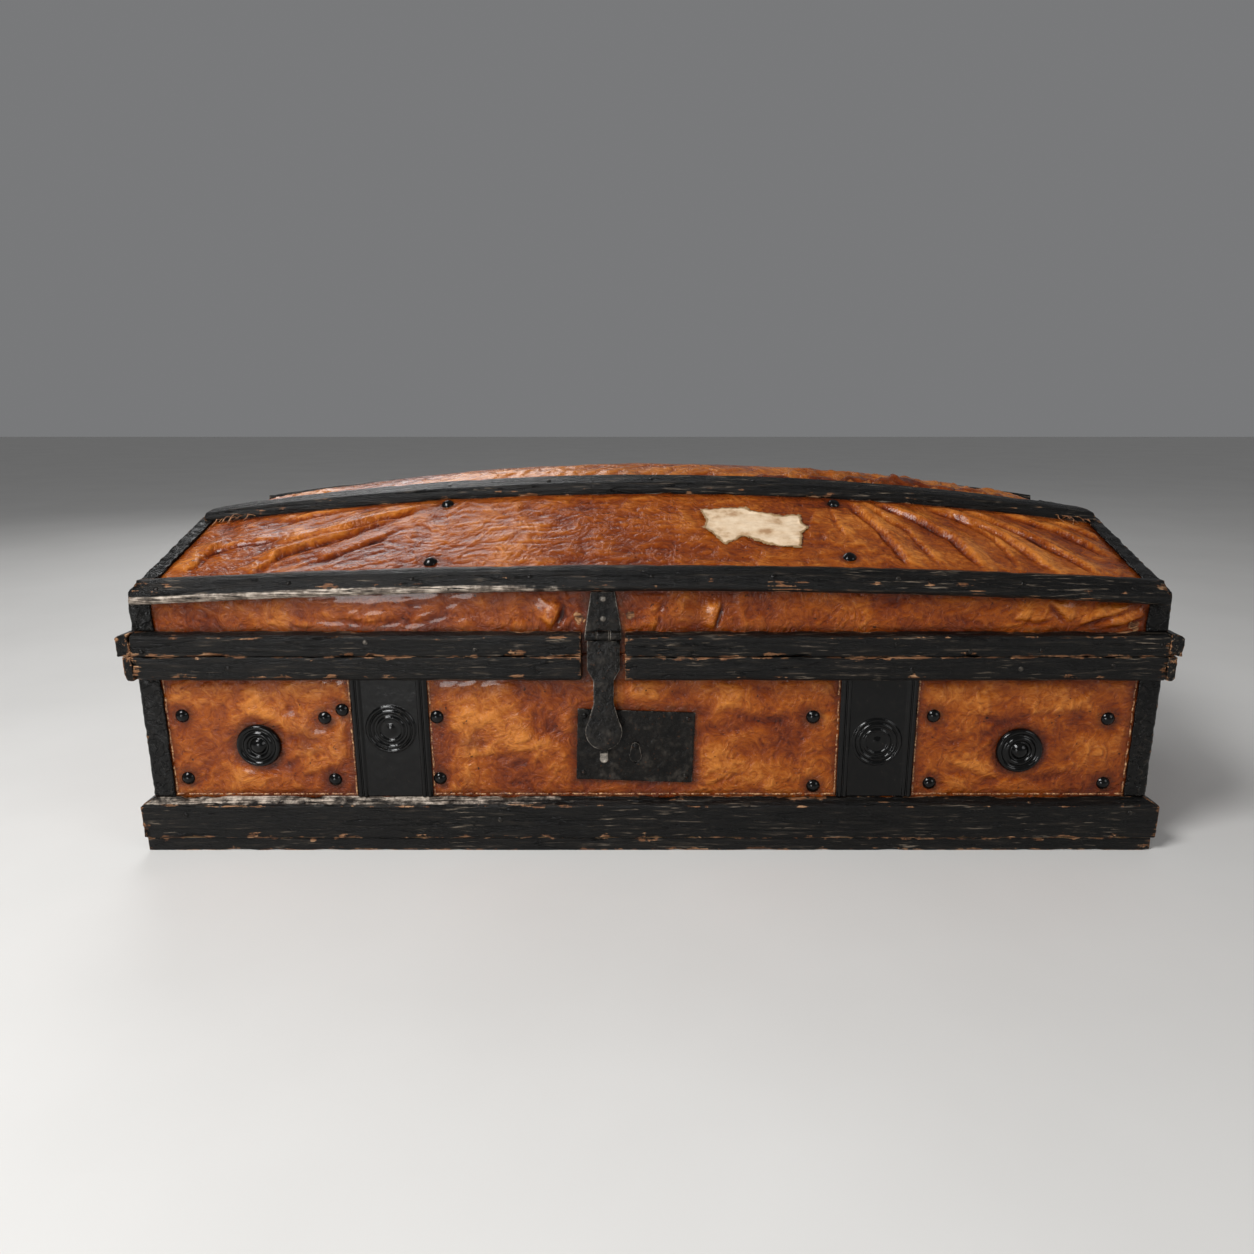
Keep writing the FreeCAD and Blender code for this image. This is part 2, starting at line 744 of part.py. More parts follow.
# End handles
def handle_plate_right():
    half = handle_plate_length / 2
    tall = handle_plate_height / 2
    plate = box(hide_x, handle_face, -half, half, handle_z - tall, handle_z + tall)
    pieces = [plate]
    bores = []
    for side in (-1, 1):
        y0 = side * handle_ear_spacing / 2 - handle_ear / 2
        y1 = y0 + handle_ear
        pieces.append(rod(V(handle_x, y0, handle_z), V(handle_x, y1, handle_z), handle_ear_radius))
        pieces.append(box(hide_x, handle_x, y0, y1,
                          handle_z - handle_ear_radius, handle_z + handle_ear_radius))
        bores.append(rod(V(handle_x, y0 - cut_overrun, handle_z), V(handle_x, y1 + cut_overrun, handle_z),
                         handle_rod_radius + handle_running))
    return fused(pieces).cut(bores + handle_nail_holes())


def rounded_path(corners, bends):
    """Straight runs through corner points, with a tangent arc of the given radius at each inner corner."""
    edges = []
    start = corners[0]
    for i, radius in enumerate(bends, start=1):
        corner = corners[i]
        back = (corners[i - 1] - corner).normalize()
        on = (corners[i + 1] - corner).normalize()
        a = corner + back * radius
        b = corner + on * radius
        middle = corner + (back + on) * (radius * (1 - math.sqrt(0.5)))
        edges.append(Part.makeLine(start, a))
        edges.append(Part.Arc(a, middle, b).toShape())
        start = b
    edges.append(Part.makeLine(start, corners[-1]))
    return Part.Wire(edges)


def right_handle_bail():
    """A bent iron rod whose turned-in ends sit in the ears."""
    leg = handle_ear_spacing / 2 + handle_ear / 2 + handle_overhang
    stub = handle_ear_spacing / 2 - handle_ear / 2 - handle_stub
    low = handle_z - handle_drop
    corners = [V(handle_x, -stub, handle_z), V(handle_x, -leg, handle_z), V(handle_x, -leg, low),
               V(handle_x, leg, low), V(handle_x, leg, handle_z), V(handle_x, stub, handle_z)]
    path = rounded_path(corners, [handle_shoulder_bend, handle_bend, handle_bend, handle_shoulder_bend])
    circle = Part.Wire(Part.makeCircle(handle_rod_radius, corners[0], V(0, -1, 0)))
    return path.makePipeShell([circle], True, False)


def handle_nails_right():
    return [nail(p, V(1, 0, 0), small_nail_radius, small_nail_height, small_nail_shank, small_nail_length)
            for p in handle_nail_places()]


# Lid: every board, hide and slat is drawn through upright sections that bow along the length
def roof(y):
    """Heights of the lid boards' outer face at its ends and at its middle, at depth y."""
    y = abs(y)
    ends = (edge_height, shoulder_height, crown_height)
    mids = (edge_height + edge_bow, shoulder_height + shoulder_bow, crown_height + crown_bow)
    heights = []
    for edge, shoulder, crown in (ends, mids):
        if y >= shoulder_half_depth:
            fall = (y - shoulder_half_depth) / (half_depth - shoulder_half_depth)
            heights.append(lid_base + shoulder + fall * (edge - shoulder))
        else:
            u = 1 - y / shoulder_half_depth
            heights.append(lid_base + shoulder + (crown - shoulder) * (3 * u - u ** 3) / 2)
    return heights


def raised(heights, rise):
    return [h + rise for h in heights]


def bow_z(heights, x):
    """Height at x on the arc through the end heights and the middle height."""
    end, mid = heights
    sag = mid - end
    radius = (half_length ** 2 + sag ** 2) / (2 * sag)
    return mid - radius + math.sqrt(radius ** 2 - x ** 2)


def bowed_section(y, low, high, reach):
    """Closed outline in an upright plane: an arc below, an arc above and two short ends."""
    lines = []
    for heights in (low, high):
        end_z = bow_z(heights, reach)
        lines.append((V(-reach, y, end_z), V(0, y, heights[1]), V(reach, y, end_z)))
    (a0, a1, a2), (b0, b1, b2) = lines
    edges = [Part.Arc(a0, a1, a2).toShape(), Part.makeLine(a2, b2),
             Part.Arc(b2, b1, b0).toShape(), Part.makeLine(b0, a0)]
    return Part.Wire(edges)


def bowed_solid(stations, ruled=True):
    return Part.makeLoft([bowed_section(*s) for s in stations], True, ruled)


def crown_stations(reach, low_rise, high_rise):
    stations = []
    for s in crown_station_shares:
        y = s * shoulder_half_depth
        stations.append((y, raised(roof(y), low_rise), raised(roof(y), high_rise), reach))
    return stations


def slope_stations(y_out, reach, low_rise, high_rise):
    return [(-y, raised(roof(y), low_rise), raised(roof(y), high_rise), reach)
            for y in (y_out, shoulder_half_depth)]


def roof_normal(x, y):
    """Outward direction of the lid's face at a place on a slope."""
    step = hide
    dx = (bow_z(roof(y), x + step) - bow_z(roof(y), x - step)) / (2 * step)
    dy = (bow_z(roof(y + step), x) - bow_z(roof(y - step), x)) / (2 * step)
    return V(-dx, -dy, 1).normalize()


def lid_nail_places():
    """Seats of the front slope's button nails and the directions they face."""
    low = half_depth - lower_slat_back
    high = shoulder_half_depth + upper_slat_below
    seats = []
    for x_share, up_share in lid_nail_shares:
        x = x_share * half_length
        y = -(low + up_share * (high - low))
        out = roof_normal(x, y)
        top = V(x, y, bow_z(roof(y), x) + hide)
        seats.append((top + out * (skin_gap * 2), out))
    return seats


def lid_nail_holes():
    return [nail_hole(p, out, dome_nail_shank, lid_nail_length) for p, out in lid_nail_places()]


def lid_button_nails():
    front = [nail(p, out, dome_nail_radius, dome_nail_height, dome_nail_shank, lid_nail_length)
             for p, out in lid_nail_places()]
    return front + [flip_y(n) for n in front]


def lid_front_slope_board():
    return bowed_solid(slope_stations(half_depth, half_length, -lid_board, 0)).cut(lid_nail_holes())


def lid_front_slope_hide():
    skin = bowed_solid(slope_stations(hide_y, hide_x, skin_gap, hide))
    return skin.cut(lid_nail_holes())


def lid_top_board():
    return bowed_solid(crown_stations(half_length, -lid_board, 0), False)


def lid_top_hide():
    return bowed_solid(crown_stations(hide_x, skin_gap, hide), False)


def wall_outline(y, reach, top):
    """Upright outline from the lid's base to a bowed top."""
    end_z = bow_z(top, reach)
    low_left = V(-reach, y, lid_base)
    low_right = V(reach, y, lid_base)
    high_left = V(-reach, y, end_z)
    high_right = V(reach, y, end_z)
    arc = Part.Arc(high_right, V(0, y, top[1]), high_left).toShape()
    return Part.Wire([Part.makeLine(low_left, low_right), Part.makeLine(low_right, high_right), arc,
                      Part.makeLine(high_left, low_left)])


def lid_front_wall():
    under = -lid_board - skin_gap
    outlines = [wall_outline(-y, half_length, raised(roof(y), under)) for y in (half_depth, inner_y)]
    return Part.makeLoft(outlines, True, True)


def hasp_rivet_holes():
    return [nail_hole(p, FRONT, small_nail_shank, small_nail_length) for p in hasp_rivet_places]


def end_outline(x, reach, gable_x, drop):
    """The lid's gable at x: flat at the base and cut to the roof's line at gable_x, less a drop."""
    crown = [s * shoulder_half_depth for s in reversed(crown_station_shares)]
    tops = [V(x, y, bow_z(roof(y), gable_x) - drop) for y in [reach] + crown + [-reach]]
    return [V(x, -reach, lid_base), V(x, reach, lid_base)] + tops


def lid_right_end():
    return prism(end_outline(inner_x, inner_y, half_length, lid_board + skin_gap), V(board, 0, 0))


def lid_wall_hide():
    outline = wall_outline(-hide_y, hide_x, raised(roof(hide_y), -skin_gap))
    return Part.Face(outline).extrude(V(0, hide, 0))


def lid_wall_hides():
    wall = lid_wall_hide()
    return [wall.cut(hasp_rivet_holes()), flip_y(wall)]


def lid_end_hides():
    return both_ends(prism(end_outline(half_length, half_depth, hide_x, skin_gap), V(hide, 0, 0)))


def lower_front_slat():
    """A slat over the lid's front edge: a bevelled nose below and a sloping face that rises to a ridge."""
    edge = raised(roof(hide_y), hide)
    seat = hide + skin_gap
    back_y = hide_y + skin_gap
    nose_y = hide_y + lower_slat_front
    nose = [
        (-nose_y, raised(edge, lower_slat_round - lower_slat_drop), raised(edge, -lower_slat_round), slat_x),
        (-nose_y + lower_slat_round, raised(edge, -lower_slat_drop), raised(edge, 0), slat_x),
        (-back_y, raised(edge, -lower_slat_drop), raised(edge, lower_slat_drop), slat_x),
    ]
    ridge_y = hide_y - lower_slat_ridge
    rear_y = hide_y - lower_slat_back
    face = [
        (-back_y, raised(roof(back_y), seat), raised(edge, lower_slat_drop), slat_x),
        (-ridge_y, raised(roof(ridge_y), seat), raised(edge, lower_slat_face), slat_x),
        (-rear_y, raised(roof(rear_y), seat), raised(edge, lower_slat_face), slat_x),
    ]
    return bowed_solid(nose).fuse(bowed_solid(face)).removeSplitter()


def upper_front_slat():
    """A slat over the joint of the slope and the top, with eased edges and slanting ends."""
    seat = hide + skin_gap
    full = seat + upper_slat_thickness
    eased = full - upper_slat_round
    low = shoulder_half_depth + upper_slat_below
    high = shoulder_half_depth - upper_slat_above
    stations = []
    for y, rise in ((low, eased), (low - upper_slat_round, full), (shoulder_half_depth, full),
                    (high + upper_slat_round, full), (high, eased)):
        reach = slat_x - upper_slat_end_cut * (low - y) / (low - high)
        stations.append((-y, raised(roof(y), seat), raised(roof(y), rise), reach))
    return bowed_solid(stations)


def binding_section(y):
    """An L strip over the lid's end edge at depth y: one leg on the hide, one down its end."""
    seat = raised(roof(y), hide + skin_gap)
    in_x = hide_x - binding_width
    end_x = hide_x + skin_gap
    out_x = end_x + binding
    in_z = bow_z(seat, in_x)
    end_z = bow_z(seat, end_x)
    points = [(in_x, in_z), (end_x, end_z), (end_x, end_z - binding_drop), (out_x, end_z - binding_drop),
              (out_x, end_z + binding), (in_x, in_z + binding)]
    points.append(points[0])
    return Part.makePolygon([V(x, y, z) for x, z in points])


def lid_end_bindings():
    low = hide_y - lower_slat_back - skin_gap
    high = shoulder_half_depth + upper_slat_below + skin_gap
    slope = Part.makeLoft([binding_section(-low), binding_section(-high)], True, True)
    top_reach = shoulder_half_depth - upper_slat_above - skin_gap
    crown = Part.makeLoft([binding_section(s * top_reach) for s in crown_station_shares], True, False)
    return four_corners(slope) + both_ends(crown)


def lid_corner_strips():
    top = bow_z(raised(roof(hide_y), hide - lower_slat_drop - skin_gap), hide_x)
    return four_corners(corner_angle(lid_wall_line, top))


def save(name, shape):
    """One file for one node; a list becomes a group of separate solids."""
    solids = shape if isinstance(shape, list) else [shape]
    pieces = [s for part in solids for s in part.Solids]
    group = pieces[0] if len(pieces) == 1 else Part.makeCompound(pieces)
    group.exportStep("parts/" + name + ".step")
    bad = [s for s in pieces if not s.isValid() or s.Volume <= 0]
    print(f"{name}: {len(pieces)} solids, {group.Volume / 1000:.1f} cm3" + (" NOT VALID" if bad else ""))


body_outline = body_rail_outline(hide_y, rail_depth)
lid_outline = lid_rail_outline(hide_y, rail_depth)
back_rail_body = flip_y(front_rail(body_outline)).cut(hinge_nail_holes(body_leaf_z))
back_rail_lid = flip_y(front_rail(lid_outline)).cut(hinge_nail_holes(lid_leaf_z))

nodes = {
    "bottom_boards": bottom_boards(),
    "front_board": front_board(),
    "back_board": back_board(),
    "left_end_board": flip_x(right_end_board()),
    "right_end_board": right_end_board(),
    "front_hide": front_hide(),
    "back_hide": back_hide(),
    "end_hides": end_hides(),
    "front_plinth": front_plinth(),
    "back_plinth": flip_y(front_plinth()),
    "end_plinths": end_plinths(),
    "front_body_rail": front_rail(body_outline).cut(notch()),
    "back_body_rail": back_rail_body,
    "end_body_rails": end_rails(body_rail_outline(hide_x, body_end_rail_depth)),
    "corner_strips": four_corners(corner_angle(plinth_top, rail_foot)),
    "front_bands": front_bands(),
    "bosses": bosses(),
    "dome_nails": dome_nails(),
    "lock_plate": lock_plate_shape(),
    "lock_plate_nails": lock_plate_nails(),
    "lock_case": lock_case(),
    "cover_rivet": cover_rivet(),
    "hinge_body_leaves": hinge_body_leaves(),
    "hinge_body_nails": hinge_nails(body_leaf_z),
    "hinge_pins": hinge_pins(),
    "handle_plates": both_ends(handle_plate_right()),
    "handle_nails": handle_nails_right() + [flip_x(n) for n in handle_nails_right()],
    "lock_bolt": lock_bolt(),
    "keyhole_cover": keyhole_cover(),
    "left_handle_bail": flip_x(right_handle_bail()),
    "right_handle_bail": right_handle_bail(),
    "lid_front_wall": lid_front_wall().cut(hasp_rivet_holes()),
    "lid_back_wall": flip_y(lid_front_wall()),
    "lid_left_end": flip_x(lid_right_end()),
    "lid_right_end": lid_right_end(),
    "lid_front_slope_board": lid_front_slope_board(),
    "lid_top_board": lid_top_board(),
    "lid_back_slope_board": flip_y(lid_front_slope_board()),
    "lid_wall_hides": lid_wall_hides(),
    "lid_end_hides": lid_end_hides(),
    "lid_front_slope_hide": lid_front_slope_hide(),
    "lid_top_hide": lid_top_hide(),
    "lid_back_slope_hide": flip_y(lid_front_slope_hide()),
    "lower_front_slat": lower_front_slat(),
    "upper_front_slat": upper_front_slat(),
    "upper_back_slat": flip_y(upper_front_slat()),
    "lower_back_slat": flip_y(lower_front_slat()),
    "front_lid_rail": front_rail(lid_outline).cut(notch()),
    "back_lid_rail": back_rail_lid,
    "end_lid_rails": end_rails(lid_rail_outline(hide_x, lid_end_rail_depth)),
    "lid_end_bindings": lid_end_bindings(),
    "lid_corner_strips": lid_corner_strips(),
    "lid_button_nails": lid_button_nails(),
    "hinge_lid_leaves": hinge_lid_leaves(),
    "hinge_lid_nails": hinge_nails(lid_leaf_z),
    "hasp_leaf": hasp_leaf(),
    "hasp_pin": hasp_pin(),
    "hasp_rivets": hasp_rivets(),
    "hasp_arm": hasp_arm(),
    "hasp_staple": hasp_staple(),
}

os.makedirs("parts", exist_ok=True)
for name, shape in nodes.items():
    save(name, shape)
print(len(nodes), "nodes")
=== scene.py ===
# %% [markdown]
# # A travel trunk with a bowed lid
# The trunk is a wooden box covered in glossy brown hide, with black wooden rails and iron fittings.
# The solid model is already built and jointed, so this lesson only dresses it. We load that model as a
# fixed frame and keep its box, because everything we add has to stay inside the same size.

# %% Load the trunk
import math

import bmesh
import bpy
from mathutils import Matrix, Vector, noise


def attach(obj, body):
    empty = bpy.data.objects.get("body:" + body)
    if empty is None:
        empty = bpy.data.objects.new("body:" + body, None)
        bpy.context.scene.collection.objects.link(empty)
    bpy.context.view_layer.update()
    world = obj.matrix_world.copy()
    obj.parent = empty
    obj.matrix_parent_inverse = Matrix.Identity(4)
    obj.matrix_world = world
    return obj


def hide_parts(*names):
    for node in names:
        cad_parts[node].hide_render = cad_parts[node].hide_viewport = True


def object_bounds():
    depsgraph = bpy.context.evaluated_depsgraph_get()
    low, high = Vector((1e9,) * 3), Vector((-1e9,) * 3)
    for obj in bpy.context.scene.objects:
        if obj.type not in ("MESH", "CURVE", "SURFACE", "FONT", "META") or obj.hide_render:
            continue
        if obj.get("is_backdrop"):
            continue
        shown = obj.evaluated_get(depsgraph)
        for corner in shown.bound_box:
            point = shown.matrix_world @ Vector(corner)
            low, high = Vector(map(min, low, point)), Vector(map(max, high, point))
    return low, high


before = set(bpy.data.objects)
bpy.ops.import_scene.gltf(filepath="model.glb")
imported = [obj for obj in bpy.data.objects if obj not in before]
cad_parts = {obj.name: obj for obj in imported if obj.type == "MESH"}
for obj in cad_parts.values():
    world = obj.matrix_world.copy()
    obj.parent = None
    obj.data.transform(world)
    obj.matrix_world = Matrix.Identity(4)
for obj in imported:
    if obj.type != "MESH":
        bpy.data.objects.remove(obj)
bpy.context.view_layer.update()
mm = 0.001

# %% [markdown]
# ## Camera
# The photograph looks straight at the trunk's front from a little above it. A shorter lens close up gives
# the same strong perspective on the lid. We could turn the camera with a tracking constraint, but a plain
# place and tilt can be read off and repeated.

# %% Camera
scene = bpy.context.scene


def in_scene(name, data):
    made = bpy.data.objects.new(name, data)
    scene.collection.objects.link(made)
    return made


camera_height = 0.4286
camera_distance = 1.063
camera_tilt = 13.81
camera = in_scene("photo_camera", bpy.data.cameras.new("photo_camera"))
camera.data.sensor_width = 36.0
camera.data.lens = 25.84
camera.data.shift_x = -0.0183
camera.location = (0.0, -camera_distance, camera_height)
camera.rotation_euler = (math.radians(90.0 - camera_tilt), 0.0, 0.0)
scene.camera = camera
print("camera lens", camera.data.lens, "mm, tilt", camera_tilt, "degrees")

# %% [markdown]
# ## Light and floor
# Black wood and varnished hide show their shape mostly by what they reflect, so the lamps are large and
# soft. The main one stands high on the left, as in the photograph, with a weaker one low in front of it that
# makes the upright faces glint, one on the right and one behind. The world gives an even grey light and the
# floor is a plain pale sheet.

# %% Lamps
trunk_middle = Vector((0.0, 0.0, 0.2))


def soft_lamp(name, place, size, power):
    lamp = in_scene(name, bpy.data.lights.new(name, "AREA"))
    lamp.data.shape = "DISK"
    lamp.data.size = size
    lamp.data.energy = power
    lamp.location = place
    lamp.rotation_euler = (trunk_middle - Vector(place)).to_track_quat("-Z", "Y").to_euler()
    return lamp


lamps = [soft_lamp("key_lamp", (-1.1, -1.2, 1.8), 0.8, 44.0),
         soft_lamp("front_lamp", (-0.7, -1.9, 0.3), 0.45, 9.0),
         soft_lamp("fill_lamp", (2.0, -1.6, 1.2), 1.2, 12.0),
         soft_lamp("back_lamp", (-1.0, 1.9, 1.8), 1.4, 18.0)]
print(len(lamps), "lamps,", sum(lamp.data.energy for lamp in lamps), "W together")

# %% World and floor
world = bpy.data.worlds.new("studio")
scene.world = world
world.use_nodes = True
sky = world.node_tree.nodes["Background"]
sky.inputs["Color"].default_value = (0.86, 0.87, 0.89, 1.0)
sky.inputs["Strength"].default_value = 0.22
scene.view_settings.view_transform = "Standard"

floor_half = 12.0
floor_shape = bmesh.new()
bmesh.ops.create_grid(floor_shape, x_segments=1, y_segments=1, size=floor_half)
floor = in_scene("floor", bpy.data.meshes.new("floor"))
floor_shape.to_mesh(floor.data)
floor_shape.free()
floor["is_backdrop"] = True
print("floor", round(floor.dimensions.x), "m wide")

# %% [markdown]
# ## Finishes
# Every finish here is a small tree of shader nodes that reads Object coordinates, so the grain keeps its
# real size and stays on the piece. One helper fills a node's sockets from plain values or from other nodes,
# and another adds a node. A few more give the patterns that come back in every finish: noise, ramps, mixes.

# %% Helpers for shader nodes
def fill(tree, node, sockets):
    for key, value in sockets.items():
        if isinstance(value, bpy.types.NodeSocket):
            tree.links.new(value, node.inputs[key])
        else:
            node.inputs[key].default_value = value
    return node


def add(tree, kind, sockets, **options):
    made = tree.nodes.new("ShaderNode" + kind)
    for key, value in options.items():
        setattr(made, key, value)
    return fill(tree, made, sockets)


def new_finish(name):
    finish = bpy.data.materials.new(name)
    finish.use_nodes = True
    tree = finish.node_tree
    return finish, tree, tree.nodes["Principled BSDF"], add(tree, "TexCoord", {}).outputs["Object"]


def calc(tree, operation, a, b=0.0):
    return add(tree, "Math", {0: a, 1: b}, operation=operation).outputs[0]


def total(tree, *terms):
    """Sum of (weight, value) pairs."""
    result = 0.0
    for weight, value in terms:
        result = add(tree, "Math", {0: value, 1: weight, 2: result}, operation="MULTIPLY_ADD").outputs[0]
    return result


print("node helpers ready")

# %% Helpers for patterns
def speckle(tree, spot, scale, detail=3.0, roughness=0.55, push=0.0):
    sockets = {"Vector": spot, "Scale": scale, "Detail": detail, "Roughness": roughness, "Distortion": push}
    return add(tree, "TexNoise", sockets).outputs["Fac"]


def swirl(tree, spot, scale, detail, push):
    """Noise that is dragged about by itself, so that it curls like worm tracks."""
    return speckle(tree, spot, scale, detail, 0.58, push)


def veins(tree, spot, scale, detail):
    """How far a noise is from its middle value: near 0 along thin wandering lines."""
    return calc(tree, "ABSOLUTE", calc(tree, "SUBTRACT", speckle(tree, spot, scale, detail), 0.5))


def stretched(tree, spot, scale):
    return add(tree, "Mapping", {"Vector": spot, "Scale": scale}).outputs["Vector"]


def window(tree, value, low, high):
    """A soft step: 0 below low, 1 above high, and the other way round if low is the larger."""
    flip = low > high
    sockets = {"Value": value, "From Min": min(low, high), "From Max": max(low, high),
               "To Min": float(flip), "To Max": float(not flip)}
    return add(tree, "MapRange", sockets, interpolation_type="SMOOTHSTEP").outputs["Result"]


def painted(tree, name):
    """A number that was stored on the mesh's points, such as wear along an edge."""
    return add(tree, "Attribute", {}, attribute_name=name).outputs["Fac"]


print("pattern helpers ready")

# %% Helpers for colours
deep_black = (0.002, 0.002, 0.002)


def tint(tree, factor, a, b, strength=None):
    """Colour a, with b over it where the factor is 1; a strength below 1 lets some of a through."""
    if strength is not None:
        factor = calc(tree, "MULTIPLY", factor, strength)
    colours = [c if isinstance(c, bpy.types.NodeSocket) else (*c, 1.0) for c in (a, b)]
    return add(tree, "Mix", {0: factor, 6: colours[0], 7: colours[1]}, data_type="RGBA").outputs[2]


def ramp(tree, value, *stops):
    """Colours along a value, from (place, colour) stops."""
    made = add(tree, "ValToRGB", {"Fac": value})
    bar = made.color_ramp
    while len(bar.elements) < len(stops):
        bar.elements.new(0.5)
    for element, (place, colour) in zip(bar.elements, stops):
        element.position = place
        element.color = (*colour, 1.0)
    return made.outputs["Color"]


def roughen(tree, shader, height, distance, strength):
    sockets = {"Height": height, "Distance": distance, "Strength": strength}
    fill(tree, shader, {"Normal": add(tree, "Bump", sockets).outputs["Normal"]})


print("colour helpers ready")

# %% [markdown]
# ### Floor
# A pale sheet of board. It is almost even, with a faint mottle so that it doesn't look like a flat tone.

# %% Floor finish
floor_finish, tree, shader, spot = new_finish("pale_floor")
pale = ramp(tree, speckle(tree, spot, 3.0, 4.0), (0.3, (0.66, 0.65, 0.63)), (0.7, (0.70, 0.69, 0.67)))
fill(tree, shader, {"Base Color": pale, "Roughness": 0.6})
floor.data.materials.append(floor_finish)
print("floor finish:", len(tree.nodes), "nodes")

# %% [markdown]
# ### Brown hide
# The cover is old cowhide, varnished over and over: amber to red brown, glossy, with fine curly creases.
# The creases come from a noise with strong distortion, which drags its own pattern into curls, in three
# sizes; drawn lines would look printed. The low lines of the finest curls are painted darker, as shade in
# the creases. Three numbers stored on the mesh steer the finish: one, the lift, says where a fold stands up,
# so that its crest is painted lighter, as rubbed and as a painted highlight, and its hollow darker, as
# painted shade; one makes the hide darker near fittings and edges; and one says where the skin is torn.

# %% Brown hide finish
brown_hide, tree, shader, spot = new_finish("brown_hide_varnish")
broad = speckle(tree, spot, 9.0, 2.0)
lobes = swirl(tree, spot, 21.0, 2.0, 1.5)
curls = swirl(tree, spot, 55.0, 3.0, 2.8)
strands = swirl(tree, stretched(tree, spot, (0.6, 1.0, 1.0)), 120.0, 2.5, 2.4)
grain = speckle(tree, spot, 420.0)
lift = painted(tree, "lift")
# Lift paints a fold's crest lighter, as rubbed and as a painted highlight, and its hollow darker, as painted
# shade.
shade = total(tree, (0.34, broad), (0.28, lobes), (0.22, curls), (0.16, strands), (0.13, lift))
colour = ramp(tree, shade, (0.35, (0.030, 0.004, 0.001)), (0.43, (0.100, 0.014, 0.0015)),
              (0.50, (0.180, 0.032, 0.002)), (0.57, (0.275, 0.062, 0.004)), (0.68, (0.50, 0.165, 0.025)))
stains = window(tree, speckle(tree, spot, 13.0, 4.0, 0.6), 0.56, 0.70)
colour = tint(tree, stains, colour, (0.085, 0.011, 0.002), 0.55)
# The low lines of the finest curls are painted darker, as shade in the creases.
crease_shade = window(tree, strands, 0.40, 0.28)
colour = tint(tree, crease_shade, colour, (0.045, 0.009, 0.003), 0.30)
pits = window(tree, speckle(tree, spot, 170.0, 2.0), 0.71, 0.76)
colour = tint(tree, pits, colour, (0.012, 0.005, 0.003), 0.85)
# The hide is painted darker in patches near fittings, slats and edges.
darkening = calc(tree, "MULTIPLY", painted(tree, "darkening"), window(tree, curls, 0.30, 0.60))
colour = tint(tree, darkening, colour, (0.022, 0.007, 0.003), 0.85)
print("hide colours:", len(tree.nodes), "nodes so far")

# %% Brown hide finish, continued
torn = window(tree, total(tree, (1.0, painted(tree, "bare")), (0.9, curls), (0.5, strands)), 1.08, 1.24)
flesh = ramp(tree, strands, (0.36, (0.035, 0.012, 0.005)), (0.5, (0.16, 0.066, 0.024)),
             (0.64, (0.36, 0.19, 0.085)))
fill(tree, shader, {
    "Base Color": tint(tree, torn, colour, flesh),
    "Roughness": total(tree, (0.12, 1.0), (0.16, strands), (0.12, darkening), (0.30, torn)),
    "Specular IOR Level": 0.14, "Coat Weight": 0.22, "Coat Roughness": 0.10})
relief = total(tree, (1.0, lobes), (0.42, curls), (0.12, strands), (0.01, grain), (-0.15, torn))
roughen(tree, shader, relief, 7 * mm, 0.85)
print("hide finish:", len(tree.nodes), "nodes")

# %% [markdown]
# ### Black wood
# Rails, slats and plinth are softwood under old black paint. The grain runs along each bar, so the noise is
# drawn out along one axis, and bars along the trunk and across it get their own copy. Wear, stored on the
# mesh along the edges, lets red wood show through the paint, and rub marks the slopes worn to a pale grey;
# on the nose of the front lower slat that pale grey is also a painted highlight. Thin pale scratch streaks
# are painted in patches as glints of light on the paint.

# %% Black wood finish
def black_wood_finish(name, grain):
    finish, tree, shader, spot = new_finish(name)
    drawn = stretched(tree, spot, grain)
    streaks = speckle(tree, drawn, 260.0, 7.0, 0.68)
    fibres = speckle(tree, drawn, 700.0, 4.0)
    chips = speckle(tree, spot, 85.0, 8.0, 0.70)
    cracks = calc(tree, "MULTIPLY", window(tree, veins(tree, drawn, 62.0, 2.0), 0.012, 0.002),
                  window(tree, chips, 0.44, 0.56))
    colour = ramp(tree, streaks, (0.34, deep_black), (0.54, (0.0045, 0.0041, 0.0037)),
                  (0.62, (0.012, 0.010, 0.008)), (0.72, (0.085, 0.064, 0.047)))
    # Thin pale scratch streaks in patches: scratches, painted pale as glints of light on the paint.
    patches = window(tree, speckle(tree, spot, 15.0), 0.44, 0.60)
    scratch_glints = calc(tree, "MULTIPLY", window(tree, speckle(tree, drawn, 420.0, 6.0, 0.66), 0.57, 0.66), patches)
    colour = tint(tree, scratch_glints, colour, (0.17, 0.135, 0.10), 0.85)
    wear = painted(tree, "wear")
    worn = window(tree, total(tree, (0.50, wear), (1.0, chips), (1.0, streaks)), 1.44, 1.49)
    red_wood = ramp(tree, fibres, (0.34, (0.050, 0.018, 0.008)), (0.52, (0.20, 0.090, 0.040)),
                    (0.70, (0.48, 0.29, 0.16)))
    colour = tint(tree, worn, colour, red_wood)
    # Pale grey where rubbed, and on the front slat's nose also a painted highlight.
    rubbed = total(tree, (0.55, painted(tree, "rub_and_sheen")), (0.75, streaks), (0.75, chips))
    silver = ramp(tree, total(tree, (0.5, fibres), (0.5, chips)), (0.38, (0.016, 0.013, 0.011)),
                  (0.48, (0.15, 0.12, 0.095)), (0.58, (0.55, 0.47, 0.39)))
    colour = tint(tree, window(tree, rubbed, 1.13, 1.42), colour, silver)
    fill(tree, shader, {
        "Base Color": tint(tree, cracks, colour, deep_black), "Specular IOR Level": 0.16,
        "Roughness": total(tree, (0.10, 1.0), (0.34, streaks), (0.10, wear))})
    relief = total(tree, (1.0, streaks), (0.35, fibres), (0.5, chips), (-0.7, cracks))
    roughen(tree, shader, relief, 1.8 * mm, 0.9)
    return finish


